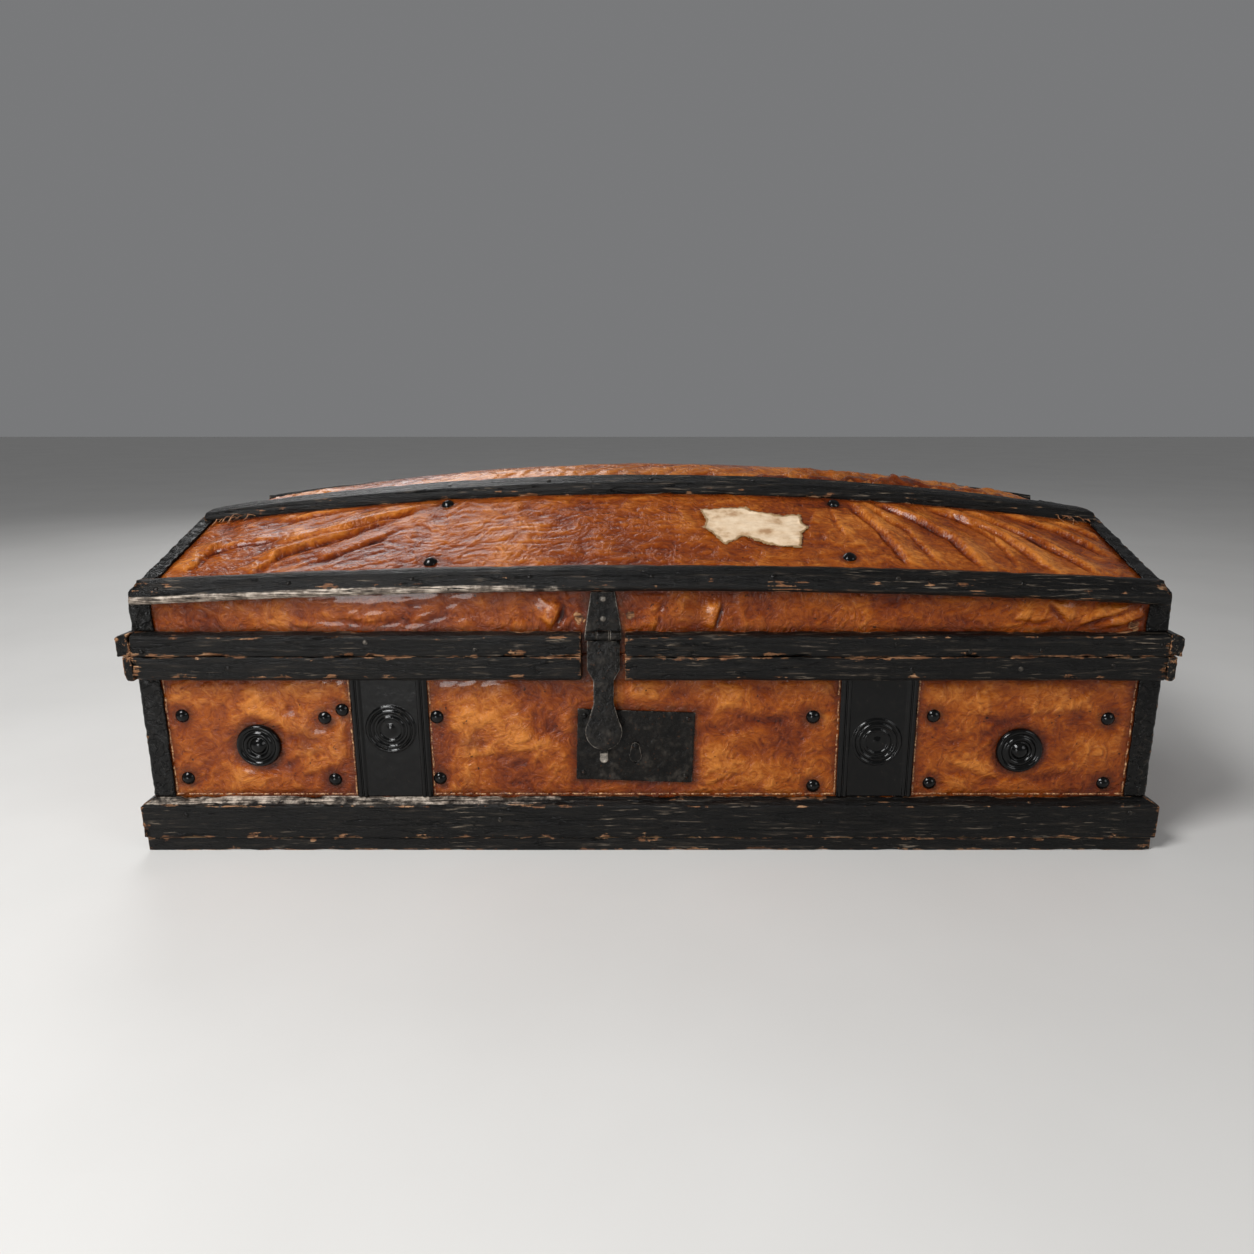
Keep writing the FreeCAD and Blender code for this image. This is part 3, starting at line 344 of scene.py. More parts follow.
long_wood = black_wood_finish("black_wood_along", (0.07, 1.0, 1.0))
cross_wood = black_wood_finish("black_wood_across", (1.0, 0.07, 1.0))
print("black wood finish:", len(long_wood.node_tree.nodes), "nodes")

# %% [markdown]
# ### Black binding, japanned iron, dark iron, bare boards
# The corner strips are black leather, cracked and scuffed. The bands, bosses and nails are iron under baked
# black varnish, the glossiest black here. The hasp, lock, hinges and handles are plain dark iron with rust
# specks and brighter edges. The boards inside are old bare pine.

# %% Black leather finish
black_binding, tree, shader, spot = new_finish("black_binding_leather")
wrinkles = swirl(tree, spot, 110.0, 6.0, 1.2)
cracks = window(tree, veins(tree, spot, 75.0, 3.0), 0.03, 0.0)
colour = ramp(tree, wrinkles, (0.35, deep_black), (0.6, (0.006, 0.0055, 0.005)), (0.8, (0.045, 0.036, 0.028)))
worn = window(tree, total(tree, (0.6, painted(tree, "wear")), (1.2, wrinkles)), 1.04, 1.14)
colour = tint(tree, worn, colour, (0.17, 0.085, 0.040))
fill(tree, shader, {
    "Base Color": tint(tree, cracks, colour, deep_black, 0.6), "Specular IOR Level": 0.18,
    "Roughness": total(tree, (0.06, 1.0), (0.36, wrinkles))})
roughen(tree, shader, total(tree, (1.0, wrinkles), (-0.5, cracks)), 1.6 * mm, 0.9)
print("black leather finish:", len(tree.nodes), "nodes")

# %% Japanned iron finish
black_japan, tree, shader, spot = new_finish("black_japan_varnish")
dust = speckle(tree, spot, 190.0, 5.0, 0.65)
dents = speckle(tree, spot, 45.0)
colour = ramp(tree, dust, (0.5, deep_black), (0.68, (0.005, 0.0045, 0.004)), (0.80, (0.065, 0.052, 0.040)))
worn = window(tree, total(tree, (0.6, painted(tree, "wear")), (1.0, dust)), 1.08, 1.25)
fill(tree, shader, {
    "Base Color": tint(tree, worn, colour, (0.12, 0.095, 0.075)),
    "Roughness": total(tree, (0.03, 1.0), (0.22, dust)),
    "Specular IOR Level": 0.20, "Coat Weight": 0.07, "Coat Roughness": 0.06})
roughen(tree, shader, total(tree, (1.0, dents), (0.2, dust)), 2.0 * mm, 0.6)
print("japanned iron finish:", len(tree.nodes), "nodes")

# %% Dark iron finish
dark_iron, tree, shader, spot = new_finish("dark_iron_forged")
scale = speckle(tree, spot, 90.0, 6.0, 0.65)
rust = speckle(tree, spot, 260.0, 4.0, 0.7)
colour = ramp(tree, scale, (0.34, deep_black), (0.55, (0.007, 0.006, 0.005)), (0.75, (0.045, 0.038, 0.031)))
colour = tint(tree, window(tree, rust, 0.62, 0.72), colour, (0.075, 0.030, 0.012))
shine = window(tree, total(tree, (0.7, painted(tree, "wear")), (0.8, scale)), 0.90, 1.28)
fill(tree, shader, {
    "Base Color": tint(tree, shine, colour, (0.38, 0.34, 0.29)), "Specular IOR Level": 0.18,
    "Metallic": total(tree, (0.12, 1.0), (0.7, shine)),
    "Roughness": total(tree, (0.10, 1.0), (0.36, scale))})
roughen(tree, shader, total(tree, (1.0, scale), (0.4, rust)), 1.2 * mm, 0.8)
print("dark iron finish:", len(tree.nodes), "nodes")

# %% Bare board finish
def board_finish(name, grain):
    finish, tree, shader, spot = new_finish(name)
    drawn = stretched(tree, spot, grain)
    rings = speckle(tree, drawn, 70.0, 4.0, 0.6)
    fibres = speckle(tree, drawn, 420.0)
    stains = window(tree, speckle(tree, spot, 9.0, 4.0), 0.5, 0.72)
    colour = ramp(tree, rings, (0.34, (0.21, 0.115, 0.050)), (0.5, (0.38, 0.235, 0.115)),
                  (0.68, (0.50, 0.34, 0.18)))
    colour = tint(tree, stains, colour, (0.12, 0.065, 0.032), 0.55)
    fill(tree, shader, {
        "Base Color": tint(tree, fibres, colour, (0.16, 0.09, 0.045), 0.35),
        "Roughness": total(tree, (0.58, 1.0), (0.25, fibres))})
    roughen(tree, shader, calc(tree, "ADD", rings, fibres), 0.5 * mm, 0.6)
    return finish


long_board = board_finish("bare_board_along", (0.05, 1.0, 1.0))
cross_board = board_finish("bare_board_across", (1.0, 0.05, 1.0))
print("finishes:", sorted(material.name for material in bpy.data.materials if material.use_nodes))

# %% [markdown]
# ## The lid's roof
# The lid bows up along its length and slopes down to the front and back, so nothing on it is flat. One
# function gives the height of the lid's boards at any place: a straight slope up to the shoulder, a soft
# crown over the middle, and an arc from end to end. Hide, slats and paper are all laid on it.

# %% Height of the lid's boards
half_length, half_depth = 485 * mm, 235 * mm
hide_thick = 2 * mm
hide_x, hide_y = half_length + hide_thick, half_depth + hide_thick
case_foot, plinth_top, rail_foot, case_top = 14 * mm, 54 * mm, 175.85 * mm, 199.35 * mm
lid_base, lid_wall_foot = 199.85 * mm, 221.85 * mm
shoulder_y = 78 * mm
roof_ends = (56 * mm, 106 * mm, 111 * mm)
roof_middles = (70 * mm, 140 * mm, 160 * mm)


def roof_line(y, heights):
    edge, shoulder, crown = heights
    y = abs(y)
    if y >= shoulder_y:
        return shoulder + (edge - shoulder) * (y - shoulder_y) / (half_depth - shoulder_y)
    rise = 1 - y / shoulder_y
    return shoulder + (crown - shoulder) * (3 * rise - rise ** 3) / 2


def roof(x, y):
    end, middle = roof_line(y, roof_ends), roof_line(y, roof_middles)
    bow = middle - end
    radius = (half_length ** 2 + bow ** 2) / (2 * bow)
    return lid_base + middle - radius + math.sqrt(radius ** 2 - x ** 2)


def on_roof(x, y):
    """A place on the outside of the lid's hide."""
    return Vector((x, y, roof(x, y) + hide_thick))


print("roof over the middle", round(roof(0, 0), 4), "at a corner", round(roof(half_length, half_depth), 4))

# %% [markdown]
# ## Noise, folds and calm places
# Hide that was stretched over boards and then shrank has lumps, drawn-out wrinkles and a few long folds
# that run to the nails. Sculpting them by hand would not repeat, so each is a small height function:
# lump for soft hills, wrinkle for ridges drawn out along one direction, and fold for a single ridge along
# a bent line, gentle on one side and steep on the other, with a hollow beside it. Near a fitting the hide is
# pressed flat, and the distance to the fitting calms everything there.

# %% Lumps and wrinkles
def ease(low, high, value):
    share = min(max((value - low) / (high - low), 0.0), 1.0)
    return share * share * (3 - 2 * share)


def lump(x, y, seed, size, octaves=3):
    return noise.fractal(Vector((x / size, y / size, seed)), 0.9, 2.0, octaves)


def wrinkle(x, y, seed, length, width, angle):
    along, aside = math.cos(angle), math.sin(angle)
    place = Vector(((x * along + y * aside) / length, (y * along - x * aside) / width, seed))
    return 1 - 2.4 * abs(noise.noise(place))


def outside(x, y, box):
    """Distance from a place to a box of (left, right, low, high)."""
    left, right, low, high = box
    return math.hypot(max(left - x, 0.0, x - right), max(low - y, 0.0, y - high))


print("halfway of an eased step:", ease(0.0, 1.0, 0.5))

# %% Folds
wide_side, steep_side = 2.5, 0.36


def nearest_on(x, y, line):
    """Signed distance to a bent line, the place along it that is nearest, and the line's length."""
    nearest, place, length = None, 0.0, 0.0
    for (ax, ay), (bx, by) in zip(line, line[1:]):
        run = math.hypot(bx - ax, by - ay)
        share = min(max(((x - ax) * (bx - ax) + (y - ay) * (by - ay)) / run ** 2, 0.0), 1.0)
        off = math.hypot(x - ax - share * (bx - ax), y - ay - share * (by - ay))
        if nearest is None or off < abs(nearest):
            side = (bx - ax) * (y - ay) - (by - ay) * (x - ax)
            nearest, place = math.copysign(off, side), length + share * run
        length += run
    return nearest, place, length


def fold(x, y, line, width, height):
    reach = 4 * width
    across, up = zip(*line)
    if not (min(across) - reach < x < max(across) + reach and min(up) - reach < y < max(up) + reach):
        return 0.0
    nearest, place, length = nearest_on(x, y, line)
    along = place / length
    taper = ease(0.0, 0.2, along) * ease(0.0, 0.3, 1 - along)
    uneven = noise.noise(Vector((place / (34 * mm), line[0][0] * 90, 2.0)))
    width *= 1 + 0.4 * uneven
    nearest += 0.45 * width * noise.noise(Vector((place / (26 * mm), line[0][0] * 70, 6.0)))
    crest = math.exp(-((nearest / (width * (wide_side if nearest > 0 else steep_side))) ** 2))
    hollow = math.exp(-(((nearest + 0.9 * width) / (0.42 * width)) ** 2))
    return height * taper * (1 + 0.3 * uneven) * (crest - 0.7 * hollow)


def in_metres(folds):
    """Folds as (line, width, height), from a table in millimetres."""
    return [([(x * mm, y * mm) for x, y in line], w * mm, h * mm) for line, w, h in folds]


print("a fold at its crest, mm:", round(fold(0.0, 0.0, [(-0.1, 0.0), (0.1, 0.0)], 0.006, 4.0), 2))

# %% [markdown]
# ## Laying a sheet of hide
# A sheet starts as a flat grid. Each point is laid on the trunk and lifted off along the surface's own
# direction, and a Solidify modifier gives the leather its thickness inwards. The lift, the darkening near
# edges and fittings and the worn-through places are stored on the points for the finish to read.

# %% Helpers that finish a piece
def place_piece(name, shape, body, finish, replaced=()):
    mesh = bpy.data.meshes.new(name)
    shape.to_mesh(mesh)
    shape.free()
    mesh.polygons.foreach_set("use_smooth", [True] * len(mesh.polygons))
    mesh.materials.append(finish)
    piece = in_scene(name, mesh)
    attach(piece, body)
    if replaced:
        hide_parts(*replaced)
    print(name, len(mesh.polygons), "faces, rides on", body)
    return piece


def thicken(piece, thickness):
    modifier = piece.modifiers.new("thickness", "SOLIDIFY")
    modifier.thickness = thickness
    modifier.offset = -1.0
    modifier.use_even_offset = True
    return piece


cover_thick = {"case": 1.9 * mm, "lid": 1.8 * mm}


def hide_cover(name, sheet, body, replaced=()):
    return thicken(place_piece(name, sheet, body, brown_hide, replaced), cover_thick[body])


print("hide is", cover_thick, "m thick")

# %% Helper that lays a sheet
# A fold this high is painted fully lighter on its crest, as rubbed and as a painted highlight; a hollow this
# deep is painted fully darker, as painted shade.
full_lift = 2.5 * mm
slope_step = 0.5 * mm


def laid_sheet(size, pitch, spot, relief):
    """A grid laid where spot(u, v) says, with the height, darkening and bareness that relief(u, v) gives."""
    across, up = size
    sheet = bmesh.new()
    bmesh.ops.create_grid(sheet, x_segments=round(across / pitch), y_segments=round(up / pitch), size=0.5)
    lift, darkening, bare = (sheet.verts.layers.float.new(key) for key in ("lift", "darkening", "bare"))
    step = slope_step
    for point in sheet.verts:
        u, v = (point.co.x + 0.5) * across, (point.co.y + 0.5) * up
        height, darkened, torn = relief(u, v)
        out = (spot(u + step, v) - spot(u - step, v)).cross(spot(u, v + step) - spot(u, v - step))
        point.co = spot(u, v) + out.normalized() * height
        point[lift] = min(max(height / full_lift, -1.0), 1.0)
        point[darkening], point[bare] = darkened, torn
    return sheet


print("sheets are laid on a grid; a fold of", full_lift, "m is rubbed fully")

# %% [markdown]
# ## Hide on the front of the case
# The front is one sheet behind the bands, bosses, nails and lock plate. Where they press it, it lies flat
# and is painted darker round them; between them it puffs up by about a millimetre. Short puckers stand round
# every nail. The lock case comes through the sheet, so that patch is taken out behind the plate.

# %% Places of the fittings
bands = [(-288.2 * mm, -214.2 * mm), (183.7 * mm, 257.7 * mm)]
lock_plate_box = (-71.1 * mm, 42.9 * mm, 70.0 * mm, 143.0 * mm)
lock_case_box = (-58.5 * mm, 8.3 * mm, 85.8 * mm, 137.3 * mm)


def merged_copy(node):
    """A CAD node's mesh with its loose triangles joined up."""
    shape = bmesh.new()
    shape.from_mesh(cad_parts[node].data)
    bmesh.ops.remove_doubles(shape, verts=shape.verts[:], dist=1e-6)
    return shape


def loose_parts(node):
    """Lowest and highest corners of each separate solid of a CAD node."""
    shape = merged_copy(node)
    left, boxes = set(shape.verts), []
    while left:
        newest = [left.pop()]
        found = list(newest)
        while newest:
            near = {e.other_vert(p) for p in newest for e in p.link_edges} & left
            left -= near
            found += near
            newest = list(near)
        spots = [p.co for p in found]
        boxes.append((Vector(map(min, *spots)), Vector(map(max, *spots))))
    shape.free()
    return sorted(boxes, key=lambda corners: (corners[0] + corners[1]).x)


def middles(node):
    return [(low + high) / 2 for low, high in loose_parts(node)]


nail_spots = [(m.x, m.z) for m in middles("dome_nails")]
boss_spots = [(m.x, m.z) for m in middles("bosses")]
nail_radius, boss_radius = 6.85 * mm, 22 * mm
print(len(nail_spots), "dome nails and", len(boss_spots), "bosses on the front")

# %% Relief of the front hide
front_folds = in_metres([
    ([(-465, 66), (-449, 82)], 5, 2.2),
    ([(-405, 150), (-349, 123), (-312, 113)], 8, 1.2),
    ([(-345, 78), (-307, 89), (-290, 97)], 7, 1.3),
    ([(-200, 96), (-140, 101), (-95, 112)], 8, 1.4),
    ([(60, 152), (110, 140), (165, 148)], 8, 1.2),
    ([(275, 92), (330, 78), (430, 84)], 8, 1.3),
    ([(290, 150), (340, 138), (455, 152)], 8, 1.1),
])
strip_cover = 18.5 * mm
calm_reach, rim_reach, darkened_reach = 14 * mm, 10 * mm, 9 * mm
pucker_reach = 16 * mm


def pressed_flat(near, rim):
    """How freely hide can rise and how much darker it is painted, from the distances to a fitting and to rail
    or plinth.
    """
    calm = ease(0.0, calm_reach, near) * ease(0.0, rim_reach, rim)
    return calm, 0.75 * max(1 - ease(0.0, darkened_reach, near), 1 - ease(0.0, darkened_reach, rim))


def front_relief(u, v):
    x, z = u - hide_x, case_foot + v
    fittings = [outside(x, z, (left, right, plinth_top, rail_foot)) for left, right in bands]
    fittings += [outside(x, z, lock_plate_box), hide_x - strip_cover - abs(x)]
    fittings += [math.hypot(x - a, z - b) - boss_radius for a, b in boss_spots]
    heads = [math.hypot(x - a, z - b) - nail_radius for a, b in nail_spots]
    rim = min(z - plinth_top, rail_foot - z)
    calm, darkened = pressed_flat(min(fittings + heads), rim)
    height = 1.7 * lump(x, z, 1.3, 44 * mm, 2) + 0.6 + 0.55 * wrinkle(x, z, 4.1, 40 * mm, 13 * mm, 0.5)
    height += 0.12 * wrinkle(x, z, 8.7, 12 * mm, 6 * mm, -0.7)
    height = (height * mm + sum(fold(x, z, *f) for f in front_folds)) * calm
    for (a, b), away in zip(nail_spots, heads):
        if 0.0 < away < pucker_reach:
            turn = math.atan2(z - b, x - a)
            ring = math.exp(-(((away - 5 * mm) / (4 * mm)) ** 2)) * ease(0.0, 5 * mm, min(fittings))
            pucker = noise.noise(Vector((2.2 * math.cos(turn), 2.2 * math.sin(turn), a * 90)))
            height += 0.45 * mm * ring * pucker
    return height * ease(0.0, 4 * mm, rim), darkened, 0.0


print(len(front_folds), "folds on the front")

# %% Front hide
case_height = case_top - case_foot
front_sheet = laid_sheet((2 * hide_x, case_height), 2.2 * mm,
                         lambda u, v: Vector((u - hide_x, -hide_y, case_foot + v)), front_relief)
centres = [(f, f.calc_center_median()) for f in front_sheet.faces]
behind_plate = [f for f, centre in centres if outside(centre.x, centre.z, lock_case_box) == 0.0]
bmesh.ops.delete(front_sheet, geom=behind_plate, context="FACES")
hide_cover("front_hide_cover", front_sheet, "case", ["front_hide"])

# %% [markdown]
# ## Hide on the back and the ends of the case
# The same sheet without bands. On the ends the handle's plate presses it flat, and the hide stays low where
# the handle hangs so that the iron can swing.

# %% Back and end hides
handle_plate_box = (-64 * mm, 64 * mm, 121.4 * mm, 147.5 * mm)
plain_pitch = 3.0 * mm


def plain_relief(u, v, length, seed, pressed=None):
    x, z = u - length / 2, case_foot + v
    near = length / 2 - strip_cover - abs(x)
    if pressed:
        near = min(near, outside(x, z, pressed))
    calm, darkened = pressed_flat(near, min(z - plinth_top, rail_foot - z))
    height = 0.8 * lump(x, z, seed, 46 * mm) + 0.3 + 0.4 * wrinkle(x, z, seed + 3, 34 * mm, 9 * mm, 0.4)
    height += 0.35 * wrinkle(x, z, seed + 7, 60 * mm, 14 * mm, -0.25) + 0.2 * lump(x, z, seed + 5, 9 * mm)
    return height * mm * calm, darkened, 0.0


back_sheet = laid_sheet((2 * hide_x, case_height), plain_pitch,
                        lambda u, v: Vector((hide_x - u, hide_y, case_foot + v)),
                        lambda u, v: plain_relief(u, v, 2 * hide_x, 12.4))
hide_cover("back_hide_cover", back_sheet, "case", ["back_hide"])

for side, label in ((-1, "left"), (1, "right")):
    end_sheet = laid_sheet(
        (2 * half_depth, case_height), plain_pitch,
        lambda u, v: Vector((side * hide_x, side * (u - half_depth), case_foot + v)),
        lambda u, v: plain_relief(u, v, 2 * half_depth, 20.0 + 7 * side, handle_plate_box))
    hide_cover(label + "_end_hide_cover", end_sheet, "case")
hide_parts("end_hides")

# %% [markdown]
# ## Hide on the lid's front slope
# This is the trunk's best surface. Two fans of long folds run down from the upper nails, one to each end,
# where the leather was pulled when the lid was covered. Between the fans lie fine wrinkles along the lid.
# The folds' places are read off the photograph and given as bent lines across the slope.

# %% Folds of the front slope
slope_folds = in_metres([
    ([(-385, -160), (-297, -126), (-227, -95)], 7.0, 3.4),
    ([(-392, -192), (-322, -155), (-256, -113)], 6.0, 3.0),
    ([(-456, -168), (-420, -150), (-372, -144)], 6.0, 2.4),
    ([(-387, -216), (-367, -181), (-346, -164), (-300, -146)], 5.5, 2.4),
    ([(-454, -206), (-445, -163), (-434, -132)], 6.0, 2.6),
    ([(-402, -112), (-350, -97), (-290, -90)], 5.0, 1.8),
    ([(-330, -196), (-290, -170), (-252, -138)], 5.0, 1.6),
    ([(212, -91), (228, -128), (246, -176), (254, -222)], 5.5, 4.2),
    ([(236, -91), (278, -122), (307, -157), (326, -222)], 5.5, 5.0),
    ([(290, -91), (346, -126), (374, -166), (398, -222)], 5.5, 4.2),
    ([(330, -92), (392, -142), (420, -180), (440, -222)], 5.0, 3.6),
    ([(372, -91), (426, -120), (468, -176)], 5.0, 3.4),
    ([(222, -91), (262, -142), (286, -214)], 4.0, 2.0),
    ([(312, -92), (352, -152), (362, -216)], 4.0, 2.2),
    ([(191, -107), (194, -135), (199, -168)], 4.0, 1.8),
    ([(176, -110), (168, -132), (163, -150)], 4.0, 1.2),
    ([(430, -100), (455, -116), (470, -140)], 4.0, 2.2),
])
slat_rear, slat_low = 224 * mm, 90 * mm
binding_line = hide_x - 14 * mm
button_spots = [(m.x, m.y) for m in middles("lid_button_nails")]
front_buttons = [(x, y) for x, y in button_spots if y < 0]
back_buttons = [(x, y) for x, y in button_spots if y > 0]
print(len(slope_folds), "folds and", len(front_buttons), "nails on the front slope")

# %% Front slope
slope_run = hide_y - shoulder_y
deepest_hollow = 0.6 * mm - hide_thick


def slope_calm(x, y, buttons):
    """How freely the slope's hide can rise and how much darker it is painted, near slats, bindings and nails.
    """
    rim = min(slat_rear - abs(y), abs(y) - slat_low, binding_line - abs(x))
    heads = min(math.hypot(x - a, y - b) - nail_radius for a, b in buttons)
    calm = ease(-1 * mm, 9 * mm, rim) * ease(-1 * mm, 8 * mm, heads)
    return calm, max(1 - ease(-2 * mm, 9 * mm, rim), 0.8 * (1 - ease(0.0, 7 * mm, heads)))


def front_slope_relief(u, v):
    x, y = u - hide_x, v - hide_y
    calm, darkened = slope_calm(x, y, front_buttons)
    middle = ease(330 * mm, 120 * mm, abs(x - 10 * mm))
    left, right = ease(-180 * mm, -300 * mm, x), ease(170 * mm, 260 * mm, x)
    height = 0.55 * lump(x, y, 31.0, 50 * mm) + 0.25
    height += (0.3 + 0.35 * middle) * wrinkle(x, y, 33.0, 36 * mm, 6 * mm, 0.12 * lump(x, y, 2.0, 90 * mm))
    height += 0.45 * middle * wrinkle(x, y, 35.0, 70 * mm, 12 * mm, 0.05)
    height += 0.7 * left * wrinkle(x, y, 37.0, 80 * mm, 11 * mm, 0.42)
    height += 0.6 * right * wrinkle(x, y, 39.0, 70 * mm, 12 * mm, -0.9)
    height = height * mm + sum(fold(x, y, *f) for f in slope_folds)
    darkened = max(darkened, 0.9 * ease(450 * mm, 480 * mm, x))
    return max(height, deepest_hollow) * calm, 0.8 * darkened, 0.0


def front_slope_spot(u, v):
    return on_roof(u - hide_x, v - hide_y)


front_slope_sheet = laid_sheet((2 * hide_x, slope_run), 2.0 * mm, front_slope_spot, front_slope_relief)
hide_cover("front_slope_hide_cover", front_slope_sheet, "lid", ["lid_front_slope_hide"])

# %% [markdown]
# ## Hide on the lid's top and back slope
# The top is crumpled where it has come loose behind the front slat, most of all to the right, and lies
# calmer further back. The back slope isn't in the picture; it gets the same kind of wrinkles as the front.

# %% Top
slat_high = 64 * mm


def top_relief(u, v):
    x, y = u - hide_x, v - shoulder_y
    rim = min(slat_high - abs(y), binding_line - abs(x))
    loose = ease(110 * mm, 190 * mm, x) * ease(455 * mm, 400 * mm, x)
    loose = max(loose, 0.55 * ease(-455 * mm, -420 * mm, x) * ease(-330 * mm, -380 * mm, x))
    loose = max(loose, 0.3 * ease(420 * mm, 100 * mm, abs(x))) * ease(20 * mm, -35 * mm, y)
    calm = max(ease(-2 * mm, 9 * mm, rim), loose * ease(-1 * mm, 1.5 * mm, rim))
    height = 0.8 * lump(x, y, 51.0, 55 * mm) + 0.4 + 0.5 * wrinkle(x, y, 53.0, 70 * mm, 12 * mm, 0.1)
    height += 0.3 * wrinkle(x, y, 55.0, 18 * mm, 7 * mm, 0.8)
    crumple = 0.55 + 0.9 * wrinkle(x, y, 57.0, 46 * mm, 17 * mm, 0.75) + 0.6 * lump(x, y, 58.0, 20 * mm)
    height += loose * (4.0 * max(crumple, -0.3) + 1.2 * wrinkle(x, y, 59.0, 14 * mm, 6 * mm, -0.5))
    darkened = max(1 - ease(-2 * mm, 10 * mm, rim), 0.5 * loose)
    return height * mm * calm, 0.8 * darkened, 0.0


top_sheet = laid_sheet((2 * hide_x, 2 * shoulder_y), 2.3 * mm,
                       lambda u, v: on_roof(u - hide_x, v - shoulder_y), top_relief)
hide_cover("top_hide_cover", top_sheet, "lid", ["lid_top_hide"])

# %% Back slope
def back_slope_relief(u, v):
    x, y = hide_x - u, hide_y - v
    calm, darkened = slope_calm(x, y, back_buttons)
    height = 0.7 * lump(x, y, 61.0, 50 * mm) + 0.3 + 0.5 * wrinkle(x, y, 63.0, 60 * mm, 10 * mm, 0.1)
    fan = wrinkle(x, y, 65.0, 80 * mm, 13 * mm, 0.8 if x > 0 else -0.6)
    height += 0.8 * ease(140 * mm, 300 * mm, abs(x)) * fan
    height += 0.3 * wrinkle(x, y, 67.0, 20 * mm, 6 * mm, 0.5)
    return 1.3 * height * mm * calm, 0.8 * darkened, 0.0


back_slope_sheet = laid_sheet((2 * hide_x, slope_run), plain_pitch,
                              lambda u, v: on_roof(hide_x - u, hide_y - v), back_slope_relief)
hide_cover("back_slope_hide_cover", back_slope_sheet, "lid", ["lid_back_slope_hide"])

# %% [markdown]
# ## Hide on the lid's walls and gables
# Below the slats the lid has short upright walls. The front one has a loose bubble on each side of the
# hasp, a patch worn through beside it and a crumpled right end. A wall's sheet is as tall as the roof is at
# each place, so its height is given as a share from 0 at the base to 1 under the slat.

# %% Lid walls
wall_folds = in_metres([
    ([(-96, 226), (-93, 231), (-86, 246), (-84, 252)], 5.0, 2.6),
    ([(57, 222), (60, 228), (65, 246), (65, 253)], 3.6, 3.4),
    ([(8, 226), (6, 240), (10, 252)], 4.5, 1.4),
    ([(378, 254), (387, 243), (399, 229)], 5.0, 2.6),
    ([(399, 228), (421, 235), (460, 250)], 5.0, 3.0),
    ([(430, 228), (448, 231), (472, 240)], 4.5, 2.6),
    ([(340, 236), (362, 232), (384, 238)], 5.0, 1.4),
    ([(-330, 240), (-260, 234), (-190, 238)], 7.0, 0.9),
])
leaf_box = (-62 * mm, -26 * mm, 222 * mm, 261 * mm)
worn_patches = [((-67 * mm, 234 * mm), 10 * mm), ((-20 * mm, 236 * mm), 8 * mm),
                ((458 * mm, 226 * mm), 9 * mm)]
under_roof = 0.1 * mm


def wall_top(x):
    return roof(x, hide_y) - under_roof


def wall_relief(x, z, front):
    rim = min(z - lid_wall_foot, wall_top(x) - 8 * mm - z)
    near = hide_x - strip_cover - abs(x)
    height = 0.6 * lump(x, z, 71.0 if front else 81.0, 36 * mm) + 0.25
    height = (height + 0.3 * wrinkle(x, z, 73.0, 26 * mm, 8 * mm, 0.3)) * mm
    torn = 0.0
    if front:
        near = min(near, outside(x, z, leaf_box))
        bubble = math.exp(-(((x - 36 * mm) / (26 * mm)) ** 2 + ((z - 238 * mm) / (12 * mm)) ** 2))
        height += 1.3 * mm * bubble + sum(fold(x, z, *f) for f in wall_folds)
        ragged = 4 * mm * lump(x, z, 77.0, 7 * mm)
        torn = max(ease(r, 0.2 * r, math.hypot(x - a, z - b) + ragged) for (a, b), r in worn_patches)
    calm = ease(0.0, 8 * mm, near) * ease(-1 * mm, 7 * mm, rim)
    darkened = max(1 - ease(0.0, 9 * mm, near), 1 - ease(0.0, 7 * mm, rim))
    return height * calm, 0.75 * darkened, 0.7 * torn


wall_share = 62 * mm


def wall_height(x, v):
    return lid_base + v / wall_share * (wall_top(x) - lid_base)


for side, label in ((-1, "front"), (1, "back")):
    wall_sheet = laid_sheet(
        (2 * hide_x, wall_share), 1.8 * mm,
        lambda u, v: Vector((-side * (u - hide_x), side * hide_y, wall_height(u - hide_x, v))),
        lambda u, v: wall_relief(-side * (u - hide_x), wall_height(u - hide_x, v), side < 0))
    hide_cover(f"lid_{label}_wall_hide_cover", wall_sheet, "lid")
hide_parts("lid_wall_hides")

# %% Lid gables
gable_share = 112 * mm


def gable_height(y, v):
    return lid_base + v / gable_share * (roof(hide_x, y) - under_roof - lid_base)


def gable_relief(y, z, seed):
    rim = min(z - lid_wall_foot, roof(hide_x, y) - 12 * mm - z, hide_y - strip_cover - abs(y))
    height = 0.7 * lump(y, z, seed, 44 * mm) + 0.3 + 0.45 * wrinkle(y, z, seed + 2, 40 * mm, 10 * mm, 0.2)
    height += 0.25 * wrinkle(y, z, seed + 4, 16 * mm, 6 * mm, -0.6)
    return height * mm * ease(-1 * mm, 9 * mm, rim), 0.75 * (1 - ease(-1 * mm, 10 * mm, rim)), 0.0


for side, label in ((-1, "left"), (1, "right")):
    gable_sheet = laid_sheet(
        (2 * half_depth, gable_share), plain_pitch,
        lambda u, v: Vector((side * hide_x, side * (u - half_depth), gable_height(u - half_depth, v))),
        lambda u, v: gable_relief(side * (u - half_depth), gable_height(u - half_depth, v), 90.0 + 6 * side))
    hide_cover(label + "_gable_hide_cover", gable_sheet, "lid")
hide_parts("lid_end_hides")

# %% [markdown]
# ## Black wooden bars
# Plinth, rails and slats were planed square and have been knocked about for a century. Each bar is a section
# drawn with a few points and extruded along its length. Its edges are bevelled, it is sliced into short
# lengths and heights with bisecting planes, and then every point is nudged: slow waves along the bar, fine
# dents, and chips bitten out of the edges. How sharply the surface bends at a point is stored as wear.

# %% Bars
def whole(shape):
    return shape.verts[:] + shape.edges[:] + shape.faces[:]


